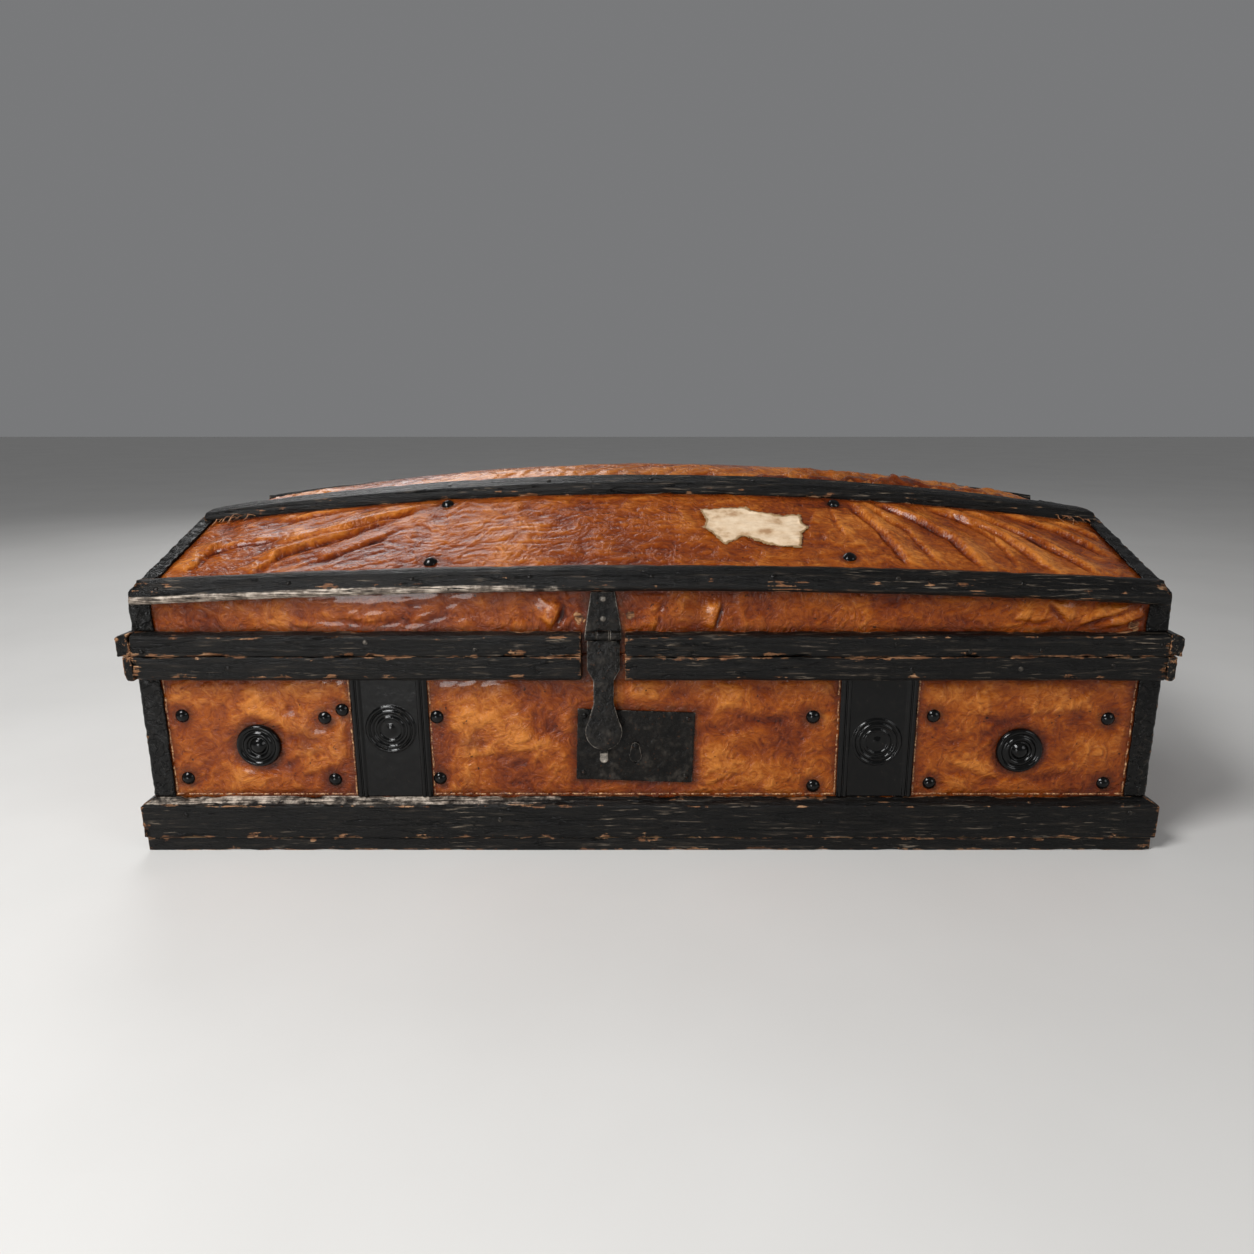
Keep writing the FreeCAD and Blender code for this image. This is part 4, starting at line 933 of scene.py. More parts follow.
def only(parts, kind):
    return [part for part in parts if isinstance(part, kind)]


def bar(section, start, end):
    """A bar along X from a section of (out, up) points, with its face towards the front."""
    shape = bmesh.new()
    outline = shape.faces.new([shape.verts.new((start, -out, up)) for out, up in section])
    pushed = bmesh.ops.extrude_face_region(shape, geom=[outline])["geom"]
    bmesh.ops.translate(shape, vec=(end - start, 0.0, 0.0), verts=only(pushed, bmesh.types.BMVert))
    bmesh.ops.recalc_face_normals(shape, faces=shape.faces[:])
    return shape


def soften(shape, radius):
    sharp = [e for e in shape.edges if len(e.link_faces) == 2 and e.calc_face_angle() > math.radians(20)]
    bmesh.ops.bevel(shape, geom=sharp, offset=radius, segments=2, profile=0.5, affect="EDGES",
                    clamp_overlap=True, material=-1)


def slice_up(shape, pitches):
    """Cuts a shape with evenly spaced planes across X, Y and Z, so that it has points to move."""
    for axis, pitch in enumerate(pitches):
        spread = [p.co[axis] for p in shape.verts]
        low, high = min(spread), max(spread)
        across = Vector([float(i == axis) for i in range(3)])
        count = max(1, round((high - low) / pitch))
        for i in range(1, count):
            bmesh.ops.bisect_plane(shape, geom=whole(shape), dist=1e-6, plane_no=across,
                                   plane_co=across * (low + (high - low) * i / count))


print("bar tools ready")

# %% Weathering
def mark_wear(shape, gain, rounds=2):
    """Stores on each point how far the surface bends outwards there, spread a little to its neighbours."""
    layer = shape.verts.layers.float.get("wear") or shape.verts.layers.float.new("wear")
    shape.normal_update()
    for p in shape.verts:
        runs = [(e.other_vert(p).co - p.co).normalized() for e in p.link_edges]
        p[layer] = min(max(-gain * sum(p.normal.dot(r) for r in runs) / max(len(runs), 1), 0.0), 1.0)
    for _ in range(rounds):
        spread = [max([0.8 * e.other_vert(p)[layer] for e in p.link_edges] + [p[layer]]) for p in shape.verts]
        for p, value in zip(shape.verts, spread):
            p[layer] = value
    return layer


def weather(shape, seed, wave, dent, chip):
    """Moves the points of a bar along X: waves and dents, and chips out of the edges that wear marked."""
    layer = mark_wear(shape, 5.0, 1)
    moves = []
    for p in shape.verts:
        x, y, z = p.co
        slow = noise.noise(Vector((x / (110 * mm), seed, math.hypot(y, z) / (60 * mm))))
        fine = noise.fractal(Vector((x / (18 * mm), seed, (y + z) / (5 * mm))), 1.0, 2.0, 3)
        bite = noise.noise(Vector((x / (16 * mm), y / (12 * mm), seed + z / (12 * mm))))
        bite = ease(0.18, 0.5, bite) * p[layer]
        moves.append(p.normal * (wave * slow + dent * fine - chip * bite))
    for p, move in zip(shape.verts, moves):
        p.co += move
    mark_wear(shape, 5.0, 1)


def rub_and_sheen_marks(shape, worn):
    """Stores the places painted pale: rubbed by hands and straps, and on a slat's nose also a painted
    highlight; worn(co, normal) gives 0 to 1.
    """
    layer = shape.verts.layers.float.new("rub_and_sheen")
    shape.normal_update()
    for p in shape.verts:
        p[layer] = worn(p.co, p.normal)


print("weathering ready")

# %% [markdown]
# ## Plinth
# The foot of the trunk is a skirting board with a sloping top, mitred at the corners. A bar is cut at each
# end by a bisecting plane that runs through the corner of the hide and the corner of the plinth. The slope
# of the front left half is rubbed to a silvery grey.

# %% Helpers for mitred bars
def mitre(shape, inner, outer):
    """Cuts both ends of a bar along X; inner and outer are the (x, y) corners of the cut at its right end."""
    for side in (-1, 1):
        across = Vector((inner[1] - outer[1], side * (outer[0] - inner[0]), 0.0))
        if across.x * side < 0:
            across.negate()
        cut = bmesh.ops.bisect_plane(shape, geom=whole(shape), dist=1e-6, plane_no=across, clear_outer=True,
                                     plane_co=(side * inner[0], inner[1], 0.0))["geom_cut"]
        bmesh.ops.contextual_create(shape, geom=only(cut, bmesh.types.BMEdge))
    bmesh.ops.recalc_face_normals(shape, faces=shape.faces[:])


def quarter_turn(shape, times):
    turn = Matrix.Rotation(math.radians(90 * times), 3, "Z")
    bmesh.ops.rotate(shape, verts=shape.verts[:], cent=(0, 0, 0), matrix=turn)


def place_wood(name, shape, turns, body, replaced=()):
    """Turns a bar that was made along X to its side of the trunk and gives it paint along its grain."""
    quarter_turn(shape, turns)
    return place_piece(name, shape, body, cross_wood if turns % 2 else long_wood, replaced)


print("helpers for mitred bars ready")

# %% Plinth
plinth_front = 48 * mm
plinth_depth, plinth_end_depth = 13 * mm, 12 * mm
wood_pitch = (7 * mm, 3.2 * mm, 3.6 * mm)


def plinth_rub(co, normal):
    slope = ease(0.5, 0.8, normal.z) * ease(47 * mm, 50 * mm, co.z)
    return slope * ease(120 * mm, -200 * mm, co.x)


for turns, label in enumerate(("front", "right", "back", "left")):
    wall, run, depth, corner = hide_y, hide_x, plinth_depth, plinth_end_depth
    if turns % 2:
        wall, run, depth, corner = run, wall, corner, depth
    section = [(wall, case_foot), (wall + depth, case_foot), (wall + depth, plinth_front), (wall, plinth_top)]
    shape = bar(section, -run - 2 * corner, run + 2 * corner)
    mitre(shape, (run, -wall), (run + corner, -wall - depth))
    soften(shape, 1.2 * mm)
    slice_up(shape, wood_pitch)
    weather(shape, 3.0 + 9 * turns, 0.35 * mm, 0.45 * mm, 2.2 * mm)
    if label == "front":
        rub_and_sheen_marks(shape, plinth_rub)
    place_wood(label + "_plinth_board", shape, turns, "case")
for label, node in (("front", "front_plinth"), ("back", "back_plinth"), ("left", "end_plinths")):
    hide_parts(node)

# %% [markdown]
# ## Rails
# One rail runs round the top of the case and another round the foot of the lid. The long ones are notched
# at the front, where the hasp hangs, so each front rail is two bars. The end rails cover the ends of the
# long ones. Sections come from the solid model: the case rail is eased below, the lid rail above.

# %% Rails
front_y = 250 * mm
lid_rail_top = 219.85 * mm
rail_ease = 2.5 * mm
notch = (-64.9 * mm, -23.4 * mm)
case_end_x, lid_end_x = 495.5 * mm, 500 * mm


def case_rail_section(wall, face):
    return [(wall, rail_foot), (face - rail_ease, rail_foot), (face, rail_foot + rail_ease),
            (face, case_top), (wall, case_top)]


def lid_rail_section(wall, face):
    return [(wall, lid_base), (face, lid_base), (face, lid_rail_top - rail_ease),
            (face - rail_ease, lid_rail_top), (wall, lid_wall_foot)]


def rail(name, section, start, end, turns, body, seed, replaced=()):
    shape = bar(section, start, end)
    soften(shape, 0.9 * mm)
    slice_up(shape, wood_pitch)
    weather(shape, seed, 0.12 * mm, 0.45 * mm, 1.9 * mm)
    place_wood(name, shape, turns, body, replaced)


for body, draw, node, end_x, seed in (("case", case_rail_section, "body_rail", case_end_x, 40.0),
                                      ("lid", lid_rail_section, "lid_rail", lid_end_x, 60.0)):
    long_section, end_section = draw(hide_y, front_y), draw(hide_x, end_x)
    rail(f"front_left_{node}", long_section, -hide_x, notch[0], 0, body, seed, [f"front_{node}"])
    rail(f"front_right_{node}", long_section, notch[1], hide_x, 0, body, seed + 3)
    rail(f"back_{node}_bar", long_section, -hide_x, hide_x, 2, body, seed + 6, [f"back_{node}"])
    rail(f"right_{node}", end_section, -front_y, front_y, 1, body, seed + 9, [f"end_{node}s"])
    rail(f"left_{node}", end_section, -front_y, front_y, 3, body, seed + 12)

# %% [markdown]
# ## Slats on the lid
# The four slats bow with the lid. Drawing them bent would make every section different, so a slat is made
# straight first, weathered, and then each of its points is raised by the height of the roof at its place.
# The lower slats wrap the lid's edge with a bevelled nose, which is painted pale on the front left, partly as
# rubbing and partly as a painted highlight along the rounded edge. The upper ones lie over the shoulder and
# are cut slanting at their ends.

# %% Lower slats
lower_section = [(249, -6), (246, -9), (237.1, -9), (237.1, 0), (224, 3.4), (224, 12), (232, 12), (237.1, 9),
                 (246, 0), (249, -3)]
slat_x = 483 * mm


def slat(section, seed):
    shape = bar([(out * mm, up * mm) for out, up in section], -slat_x, slat_x)
    soften(shape, 0.9 * mm)
    slice_up(shape, (7 * mm, 3 * mm, 3 * mm))
    weather(shape, seed, 0.3 * mm, 0.3 * mm, 1.6 * mm)
    return shape


# Pale along the front slat's nose, most on the left: rubbing, and a painted highlight where light catches the
# rounded edge.
def nose_rub_and_sheen(co, normal):
    nose = ease(-243.5 * mm, -246.5 * mm, co.y) * ease(0.0, -3 * mm, co.z)
    return nose * ease(-60 * mm, -190 * mm, co.x) + 0.55 * nose * ease(90 * mm, -60 * mm, co.x)


for label, turns, seed in (("front", 0, 80.0), ("back", 2, 86.0)):
    shape = slat(lower_section, seed)
    if label == "front":
        rub_and_sheen_marks(shape, nose_rub_and_sheen)
    for p in shape.verts:
        p.co.z += roof(min(max(p.co.x, -hide_x), hide_x), hide_y) + hide_thick
    place_wood(f"lower_{label}_slat_bar", shape, turns, "lid", [f"lower_{label}_slat"])

# %% Upper slats
upper_section = [(90, 1.2), (90, 8.1), (86, 12.1), (78, 12.1), (68, 12.1), (64, 8.1), (64, 1.2), (77, 1.2)]
end_cut = 9 * mm
for label, turns, seed in (("front", 0, 92.0), ("back", 2, 98.0)):
    shape = slat(upper_section, seed)
    for p in shape.verts:
        reach = slat_x - end_cut * (slat_low + p.co.y) / (slat_low - slat_high)
        p.co.x *= reach / slat_x
        p.co.z += roof(p.co.x, p.co.y)
    place_wood(f"upper_{label}_slat_bar", shape, turns, "lid", [f"upper_{label}_slat"])

# %% [markdown]
# ## Bottom planks
# Three planks make the floor. They are painted black outside, where their edges show under the plinth, and
# left bare inside, so one piece carries two finishes and each face that looks up is given the bare one.

# %% Bottom planks
planks = sorted(loose_parts("bottom_boards"), key=lambda corners: corners[0].y)
for count, (low, high) in enumerate(planks):
    shape = bar([(-high.y, low.z), (-low.y, low.z), (-low.y, high.z), (-high.y, high.z)], low.x, high.x)
    soften(shape, 1.0 * mm)
    slice_up(shape, (9 * mm, 12 * mm, 3.5 * mm))
    weather(shape, 110.0 + 5 * count, 0.1 * mm, 0.18 * mm, 1.2 * mm)
    for p in shape.verts:
        p.co.z = max(p.co.z, 0.0)
    plank = place_piece(f"bottom_plank_{count + 1}", shape, "case", long_wood)
    plank.data.materials.append(long_board)
    for face in plank.data.polygons:
        if face.normal.z > 0.7:
            face.material_index = 1
    if count == 0:
        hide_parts("bottom_boards")

# %% [markdown]
# ## Black leather corner strips and bindings
# Each upright corner is covered by a leather strip folded round it, and the lid's ends by bindings folded
# over the edge of the hide, in three lengths that run on under the slats. A strip is laid like a sheet of
# hide, but round a corner: its place is a path of two straight legs with a small arc between them. Its sides
# wander, as cut leather does.

# %% Path round a corner
bend = 2.2 * mm
bend_saves = (2 - math.pi / 2) * bend


def round_corner(run, first_leg):
    """Place on an L path: along the first leg, round an arc, then along the second, as (first, second)."""
    arc = bend * math.pi / 2
    if run <= first_leg - bend:
        return run, 0.0
    if run < first_leg - bend + arc:
        turn = (run - first_leg + bend) / bend
        return first_leg - bend + bend * math.sin(turn), bend - bend * math.cos(turn)
    return first_leg, bend + run - (first_leg - bend + arc)


def leather_piece(name, sheet, body, thickness):
    mark_wear(sheet, 3.0)
    return thicken(place_piece(name, sheet, body, black_binding), thickness)


print("the bend saves", round(bend_saves, 5), "m of leather")

# %% Corner strips
strip_thick, strip_leg = 2.5 * mm, 21 * mm
strip_across = 2 * strip_leg - bend_saves


def corner_strip(name, side_x, side_y, foot, top, body):
    seed = 130.0 + 3 * side_x + 7 * side_y + 20 * foot

    def spot(u, v):
        wander = 0.9 * mm * noise.noise(Vector((v / (14 * mm), seed, 4.0 * ease(0, strip_across, u))))
        u = u + wander * abs(2 * u / strip_across - 1) ** 3
        if side_x * side_y > 0:
            u = strip_across - u
        first, second = round_corner(u, strip_leg)
        x = hide_x + strip_thick - strip_leg + first
        y = hide_y + strip_thick - second
        return Vector((side_x * x, side_y * y, foot + v))

    def relief(u, v):
        height = 0.5 * lump(u, v, seed, 22 * mm) + 0.35 * wrinkle(u, v, seed + 2, 16 * mm, 7 * mm, 0.6)
        return 1.3 * height * mm, 0.0, 0.0

    sheet = laid_sheet((strip_across, top - foot), 1.7 * mm, spot, relief)
    return leather_piece(name, sheet, body, 2.3 * mm)


corners = [(x, a, y, b) for x, a in ((-1, "left"), (1, "right")) for y, b in ((-1, "front"), (1, "back"))]
lid_strip_top = roof(half_length, hide_y) - 7 * mm
for foot, top, body, node in ((plinth_top, rail_foot, "case", "corner_strips"),
                              (lid_wall_foot, lid_strip_top, "lid", "lid_corner_strips")):
    strips = [corner_strip(f"{body}_corner_strip_{a}_{b}", x, y, foot, top, body) for x, a, y, b in corners]
    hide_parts(node)

# %% End bindings
binding_thick, binding_drop, binding_width = 2.4 * mm, 15.4 * mm, 16.5 * mm
binding_across = binding_drop + binding_width - bend_saves
binding_x = hide_x + 0.1 * mm + binding_thick


def end_binding(name, side, y0, y1, seed):
    def spot(u, v):
        ragged = 1.6 * mm * noise.noise(Vector((u / (9 * mm), seed, 1.0)))
        v = v + ragged * (abs(2 * v / binding_across - 1) ** 4)
        y = y0 + u if side > 0 else y1 - u
        up, inward = round_corner(v, binding_drop)
        x = binding_x - inward
        crest = roof(min(x, hide_x), y) + hide_thick + binding_thick
        return Vector((side * x, y, crest - binding_drop + up))

    def relief(u, v):
        height = 0.9 * lump(u, v, seed, 16 * mm) + 0.8 * wrinkle(u, v, seed + 2, 20 * mm, 8 * mm, 1.2)
        return (height + 0.3) * 0.8 * mm, 0.0, 0.0

    sheet = laid_sheet((y1 - y0, binding_across), 2 * mm, spot, relief)
    return leather_piece(name, sheet, "lid", 2.2 * mm)


binding_runs = (("front", -236 * mm, -78 * mm), ("top", -76 * mm, 76 * mm), ("back", 78 * mm, 236 * mm))
bindings = [end_binding(f"{end}_{label}_binding", side, y0, y1, 150.0 + 9 * side + 30 * y0)
            for side, end in ((-1, "left"), (1, "right")) for label, y0, y1 in binding_runs]
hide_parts("lid_end_bindings")

# %% [markdown]
# ## Pressed bands
# Each band is sheet iron pressed over a die: two beads along each side and three rings round one spot. It is
# laid like a sheet of hide, with the beads and rings as its relief, then its rim is extruded back to the
# hide and the hole behind filled, so that the plate is a closed solid.

# %% Relief of the bands
band_half, band_thick = 37 * mm, 2 * mm
bead_radius, bead_shares = 2.2 * mm, (0.78, 0.92)
ring_radius, ring_radii = 1.7 * mm, (22.5 * mm, 18 * mm, 12 * mm)
panel_height = rail_foot - plinth_top
ring_heights = (plinth_top + 0.574 * panel_height, plinth_top + 0.467 * panel_height)


def half_round(off, radius):
    return math.sqrt(max(radius ** 2 - off ** 2, 0.0))


def band_relief(x, z, ring_z, seed):
    beads = [half_round(abs(x) - share * band_half, bead_radius) for share in bead_shares]
    off = math.hypot(x, z - ring_z)
    rings = [half_round(off - radius, ring_radius) for radius in ring_radii]
    boss = 1.5 * mm * ease(7 * mm, 0.0, off)
    return band_thick + max(beads + rings + [boss]) + 0.16 * mm * lump(x, z, seed, 18 * mm), 0.0, 0.0


print("rings at", [round(height, 3) for height in ring_heights], "m")

# %% Bands
def close_back(shape, depth):
    """Extrudes the rim of a sheet back to a plane of constant y and fills the back."""
    rim = [e for e in shape.edges if e.is_boundary]
    pushed = bmesh.ops.extrude_edge_only(shape, edges=rim)["geom"]
    for p in only(pushed, bmesh.types.BMVert):
        p.co.y = depth
    bmesh.ops.holes_fill(shape, edges=only(pushed, bmesh.types.BMEdge))
    bmesh.ops.recalc_face_normals(shape, faces=shape.faces[:])


for (left, right), ring_z, label, seed in zip(bands, ring_heights, ("left", "right"), (170.0, 175.0)):
    middle = (left + right) / 2
    sheet = laid_sheet((2 * band_half, panel_height), 0.7 * mm,
                       lambda u, v: Vector((middle - band_half + u, -hide_y, plinth_top + v)),
                       lambda u, v: band_relief(u - band_half, plinth_top + v, ring_z, seed))
    close_back(sheet, -hide_y)
    mark_wear(sheet, 1.5, 1)
    place_piece(label + "_band", sheet, "case", black_japan)
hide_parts("front_bands")

# %% [markdown]
# ## Bosses and nails
# These were turned or pressed round, so half a profile is spun about an axis. The full turn merges its seam,
# and doubles at the pole are merged too. Hand-driven nails sit a little askew and no two are the same size,
# so each is turned and scaled by a small amount that comes from noise at its place.

# %% Spun heads
def spun(profile, steps):
    """A closed round head on +Z from (radius, height) points, from the top of the axis down to the rim."""
    shape = bmesh.new()
    closed = profile + [(0.0, profile[-1][1])]
    points = [shape.verts.new((radius * mm, 0.0, height * mm)) for radius, height in closed]
    line = [shape.edges.new(pair) for pair in zip(points, points[1:])]
    bmesh.ops.spin(shape, geom=points + line, cent=(0, 0, 0), axis=(0, 0, 1), angle=math.tau, steps=steps,
                   use_merge=True)
    bmesh.ops.remove_doubles(shape, verts=shape.verts[:], dist=0.01 * mm)
    bmesh.ops.recalc_face_normals(shape, faces=shape.faces[:])
    return shape


dome_head = spun([(0, 4.3), (1.6, 4.15), (3.3, 3.55), (4.9, 2.5), (6.1, 1.2), (6.7, 0.25), (6.85, -0.4)], 24)
boss_head = spun([
    (0, 7.0), (2.8, 6.75), (5.2, 5.9), (7.0, 4.4), (7.9, 2.7), (8.8, 2.2), (9.9, 2.4), (10.7, 3.7),
    (11.5, 4.5), (12.4, 4.75), (13.3, 4.5), (14.2, 3.7), (15.2, 2.5), (16.4, 2.4), (17.3, 3.6),
    (18.4, 4.5), (19.5, 4.75), (20.6, 4.3), (21.5, 3.2), (22.0, 1.8), (22.0, 0.0)], 72)
print("boss", len(boss_head.faces), "faces, nail", len(dome_head.faces), "faces")

# %% Helpers that drive a nail
def join_in(into, shape):
    """Moves a shape's faces into another bmesh."""
    mesh = bpy.data.meshes.new("joined")
    shape.to_mesh(mesh)
    shape.free()
    into.from_mesh(mesh)
    bpy.data.meshes.remove(mesh)


def drive_in(into, head, place, out, seed, askew):
    """Adds a copy of a head to a bmesh, seated at a place and facing out."""
    jitter = [noise.noise(Vector((seed, 7.3 * k, 1.7))) for k in range(3)]
    size = 1 + 0.07 * jitter[0]
    lean = Matrix.Rotation(askew * jitter[1], 4, "X") @ Matrix.Rotation(askew * jitter[2], 4, "Y")
    turn = Vector(out).to_track_quat("Z", "Y").to_matrix().to_4x4()
    copy = head.copy()
    bmesh.ops.transform(copy, matrix=Matrix.Translation(place) @ turn @ lean @ Matrix.Scale(size, 4),
                        verts=copy.verts[:])
    join_in(into, copy)


def uneven(shape, depth, size):
    for p in shape.verts:
        p.co += p.normal * depth * noise.noise(p.co / size)


def place_heads(name, shape, body, gain, replaced):
    mark_wear(shape, gain, 0)
    place_piece(name, shape, body, black_japan, replaced)


front_way, back_way = (0, -1, 0), (0, 1, 0)
print("nail helpers ready")

# %% Nails and bosses in their places
shape = bmesh.new()
for x, z in nail_spots:
    drive_in(shape, dome_head, Vector((x, -hide_y, z)), front_way, 31 * x + 57 * z, 0.12)
place_heads("front_dome_nails", shape, "case", 0.6, ["dome_nails"])

shape = bmesh.new()
for x, z in boss_spots:
    drive_in(shape, boss_head, Vector((x, -hide_y, z)), front_way, 3 * x, 0.02)
uneven(shape, 0.18 * mm, 9 * mm)
place_heads("front_bosses", shape, "case", 0.8, ["bosses"])

# %% Button nails on the lid
shape = bmesh.new()
step = 1 * mm
for x, y in button_spots:
    fall_x, fall_y = roof(x - step, y) - roof(x + step, y), roof(x, y - step) - roof(x, y + step)
    slope = Vector((fall_x, fall_y, 2 * step)).normalized()
    drive_in(shape, dome_head, on_roof(x, y) + slope * 0.2 * mm, slope, 41 * x + 13 * y, 0.25)
uneven(shape, 0.7 * mm, 5 * mm)
place_heads("lid_buttons", shape, "lid", 0.6, ["lid_button_nails"])
dome_head.free()
boss_head.free()

# %% [markdown]
# ## Forged iron
# The hasp, lock plate and handles were forged, filed and then worn. Their solids have the right outlines but
# crisp machine edges. A copy of the solid is merged, remeshed into small even cells with a Remesh modifier,
# smoothed so that its edges round over, and dented slightly inwards with noise. Bevelling the copy instead
# would leave its large flat faces with no points to dent.

# %% Forging
def remeshed(node, voxel):
    """A copy of a CAD node in small even cells."""
    merged = merged_copy(node)
    rough = bpy.data.meshes.new("rough")
    merged.to_mesh(rough)
    merged.free()
    holder = in_scene("rough", rough)
    even = holder.modifiers.new("even_cells", "REMESH")
    even.mode, even.voxel_size = "VOXEL", voxel
    cells = bpy.data.meshes.new_from_object(holder.evaluated_get(bpy.context.evaluated_depsgraph_get()))
    bpy.data.objects.remove(holder)
    bpy.data.meshes.remove(rough)
    shape = bmesh.new()
    shape.from_mesh(cells)
    bpy.data.meshes.remove(cells)
    return shape


def forged(name, node, body, voxel, dent, seed, edge=8.0, polish=None):
    """Rounds and dents a solid; edge says how bright its edges wear, and polish(co) where it shines."""
    shape = remeshed(node, voxel)
    for _ in range(3):
        bmesh.ops.smooth_vert(shape, verts=shape.verts[:], factor=0.5, use_axis_x=True, use_axis_y=True,
                              use_axis_z=True)
    shape.normal_update()
    for p in shape.verts:
        blow = noise.fractal(p.co / (12 * mm) + Vector((seed, 0, 0)), 1.0, 2.0, 3)
        p.co += p.normal * dent * min(1.6 * blow, 0.0)
    layer = mark_wear(shape, edge, 1)
    if polish:
        for p in shape.verts:
            p[layer] = max(p[layer], polish(p.co))
    place_piece(name, shape, body, dark_iron, [node])


print("forging ready")

# %% Hasp, lock plate and handles
tab_top = 107 * mm
forged("lock_plate_forged", "lock_plate", "case", 0.8 * mm, 0.34 * mm, 3.0, 4.0)
forged("hasp_leaf_forged", "hasp_leaf", "lid", 0.6 * mm, 0.16 * mm, 6.0)
forged("hasp_arm_forged", "hasp_arm", "hasp", 0.6 * mm, 0.22 * mm, 9.0,
       polish=lambda co: ease(tab_top + 1 * mm, tab_top - 3 * mm, co.z))
forged("keyhole_cover_forged", "keyhole_cover", "cover", 0.4 * mm, 0.08 * mm, 12.0)
forged("handle_plates_forged", "handle_plates", "case", 0.9 * mm, 0.2 * mm, 15.0)
for side in ("left", "right"):
    forged(f"{side}_bail_forged", f"{side}_handle_bail", f"{side}_bail", 0.7 * mm, 0.12 * mm, 18.0)

# %% [markdown]
# ## Small nails and rivets
# The plates are held by small round-headed nails, and the wood by others driven nearly flush. The ones that
# the solid model has are seated where its heads are. In the front rails and plinth each stands where the
# photograph has one. On the back and ends they stand in rows, none quite in line, and so they do in the
# slats.

# %% Small heads
small_height = 1.6 * mm
small_head = spun([(0, 1.65), (1.0, 1.52), (2.0, 1.05), (2.7, 0.45), (3.0, 0.0), (3.0, -0.5)], 16)


def iron_heads(name, shape, body, shine, replaced=()):
    """Marks each point with at least the wear that shine(co) gives, and places the heads."""
    layer = mark_wear(shape, 1.0, 0)
    for p in shape.verts:
        p[layer] = max(p[layer], shine(p.co))
    place_piece(name, shape, body, dark_iron, replaced)


def small_heads(node, way, body, shine):
    """Round heads in place of a CAD node's nails; they face way, or outwards at each end if it is None."""
    shape = bmesh.new()
    for low, high in loose_parts(node):
        place = (low + high) / 2
        out = Vector(way or (math.copysign(1.0, place.x), 0.0, 0.0))
        axis = max(range(3), key=lambda i: abs(out[i]))
        tip = high[axis] if out[axis] > 0 else low[axis]
        place[axis] = tip - out[axis] * small_height
        drive_in(shape, small_head, place, out, 23 * place.x + 41 * place.z + 11 * place.y, 0.15)
    iron_heads(node[:-1] + "_heads", shape, body, lambda co: shine, [node])


small_heads("lock_plate_nails", front_way, "case", 0.6)
small_heads("hasp_rivets", front_way, "lid", 1.0)
small_heads("hinge_body_nails", back_way, "case", 0.2)
small_heads("hinge_lid_nails", back_way, "lid", 0.2)
small_heads("handle_nails", None, "case", 0.25)
small_head.free()

# %% Nails in the wood
flush_head = spun([(0, 0.9), (1.0, 0.85), (1.9, 0.6), (2.5, 0.2), (2.6, -0.5)], 10)
front_nails = {
    "case": [(-397, 188), (247, 187), (349, 188), (436, 191), (470, 41), (-455, 39), (-147, 34), (167, 30)],
    "lid": [(-477, 204), (-266, 214), (-164, 206), (231, 212), (300, 205), (367, 206), (480, 211)],
}
plinth_x = hide_x + plinth_end_depth
nail_heights = {"case": ((188 * mm, case_end_x), (31 * mm, plinth_x)), "lid": ((209 * mm, lid_end_x),)}


def nail_row(shape, start, end, count, way, seed):
    for i in range(count):
        along = (i + 0.5 + 0.6 * noise.noise(Vector((seed, 3.1 * i, 0.4)))) / count
        place = Vector(start).lerp(Vector(end), along)
        place.z += 6 * mm * noise.noise(Vector((seed, 3.1 * i, 8.2)))
        drive_in(shape, flush_head, place, way, seed + i, 0.2)


def worn_shine(co):
    return 0.6 + 0.5 * noise.noise(co / (40 * mm))


for body, rows in nail_heights.items():
    shape = bmesh.new()
    for x, z in front_nails[body]:
        drive_in(shape, flush_head, Vector((x * mm, -front_y, z * mm)), front_way, x + z, 0.2)
    for z, end_x in rows:
        nail_row(shape, (-hide_x, front_y, z), (hide_x, front_y, z), 7, back_way, 110 * z)
        for side in (-1, 1):
            x = side * end_x
            nail_row(shape, (x, -hide_y, z), (x, hide_y, z), 4, (side, 0, 0), 170 * z + side)
    iron_heads(body + "_wood_nails", shape, body, worn_shine)

# %% Nails in the slats
slat_nail_pitch = 115 * mm
nose_y, nose_rise, ridge_rise = 241.4 * mm, 4.7 * mm, 11.9 * mm
shape = bmesh.new()
for side in (-1, 1):
    for i in range(9):
        x = (i - 4 + 0.25 * noise.noise(Vector((i * 2.7, side, 0.0)))) * slat_nail_pitch
        lower = Vector((x, side * nose_y, roof(x, hide_y) + hide_thick + nose_rise))
        drive_in(shape, flush_head, lower, (0, 0.7 * side, 0.7), i + side, 0.15)
        y = side * shoulder_y
        upper = Vector((x * 0.98, y, roof(x, y) + ridge_rise))
        drive_in(shape, flush_head, upper, (0, 0.2 * side, 1), i + 3 * side, 0.15)
iron_heads("slat_nails", shape, "lid", worn_shine)
flush_head.free()

# %% [markdown]
# ## Scrap of paper
# What is left of an old paper is stuck on the front slope, torn along every side and blank by now. It is a
# fine grid laid on the hide, from which all faces outside a torn outline are deleted. It follows the hide's
# own wrinkles and curls up at its free corners.

# %% Paper finish
paper, tree, shader, spot = new_finish("old_paper")
blots = speckle(tree, spot, 60.0, 5.0, 0.6)
fibres = speckle(tree, spot, 700.0)
colour = ramp(tree, blots, (0.32, (0.36, 0.20, 0.095)), (0.46, (0.62, 0.45, 0.29)),
              (0.62, (0.74, 0.58, 0.41)))
browned = window(tree, total(tree, (1.0, painted(tree, "wear")), (0.8, blots)), 0.85, 1.25)
colour = tint(tree, browned, colour, (0.26, 0.15, 0.06))
fill(tree, shader, {"Base Color": tint(tree, fibres, colour, (0.45, 0.33, 0.18), 0.18), "Roughness": 0.72})
roughen(tree, shader, total(tree, (1.0, fibres), (2.0, blots)), 0.25 * mm, 0.7)
print("paper finish:", len(tree.nodes), "nodes")

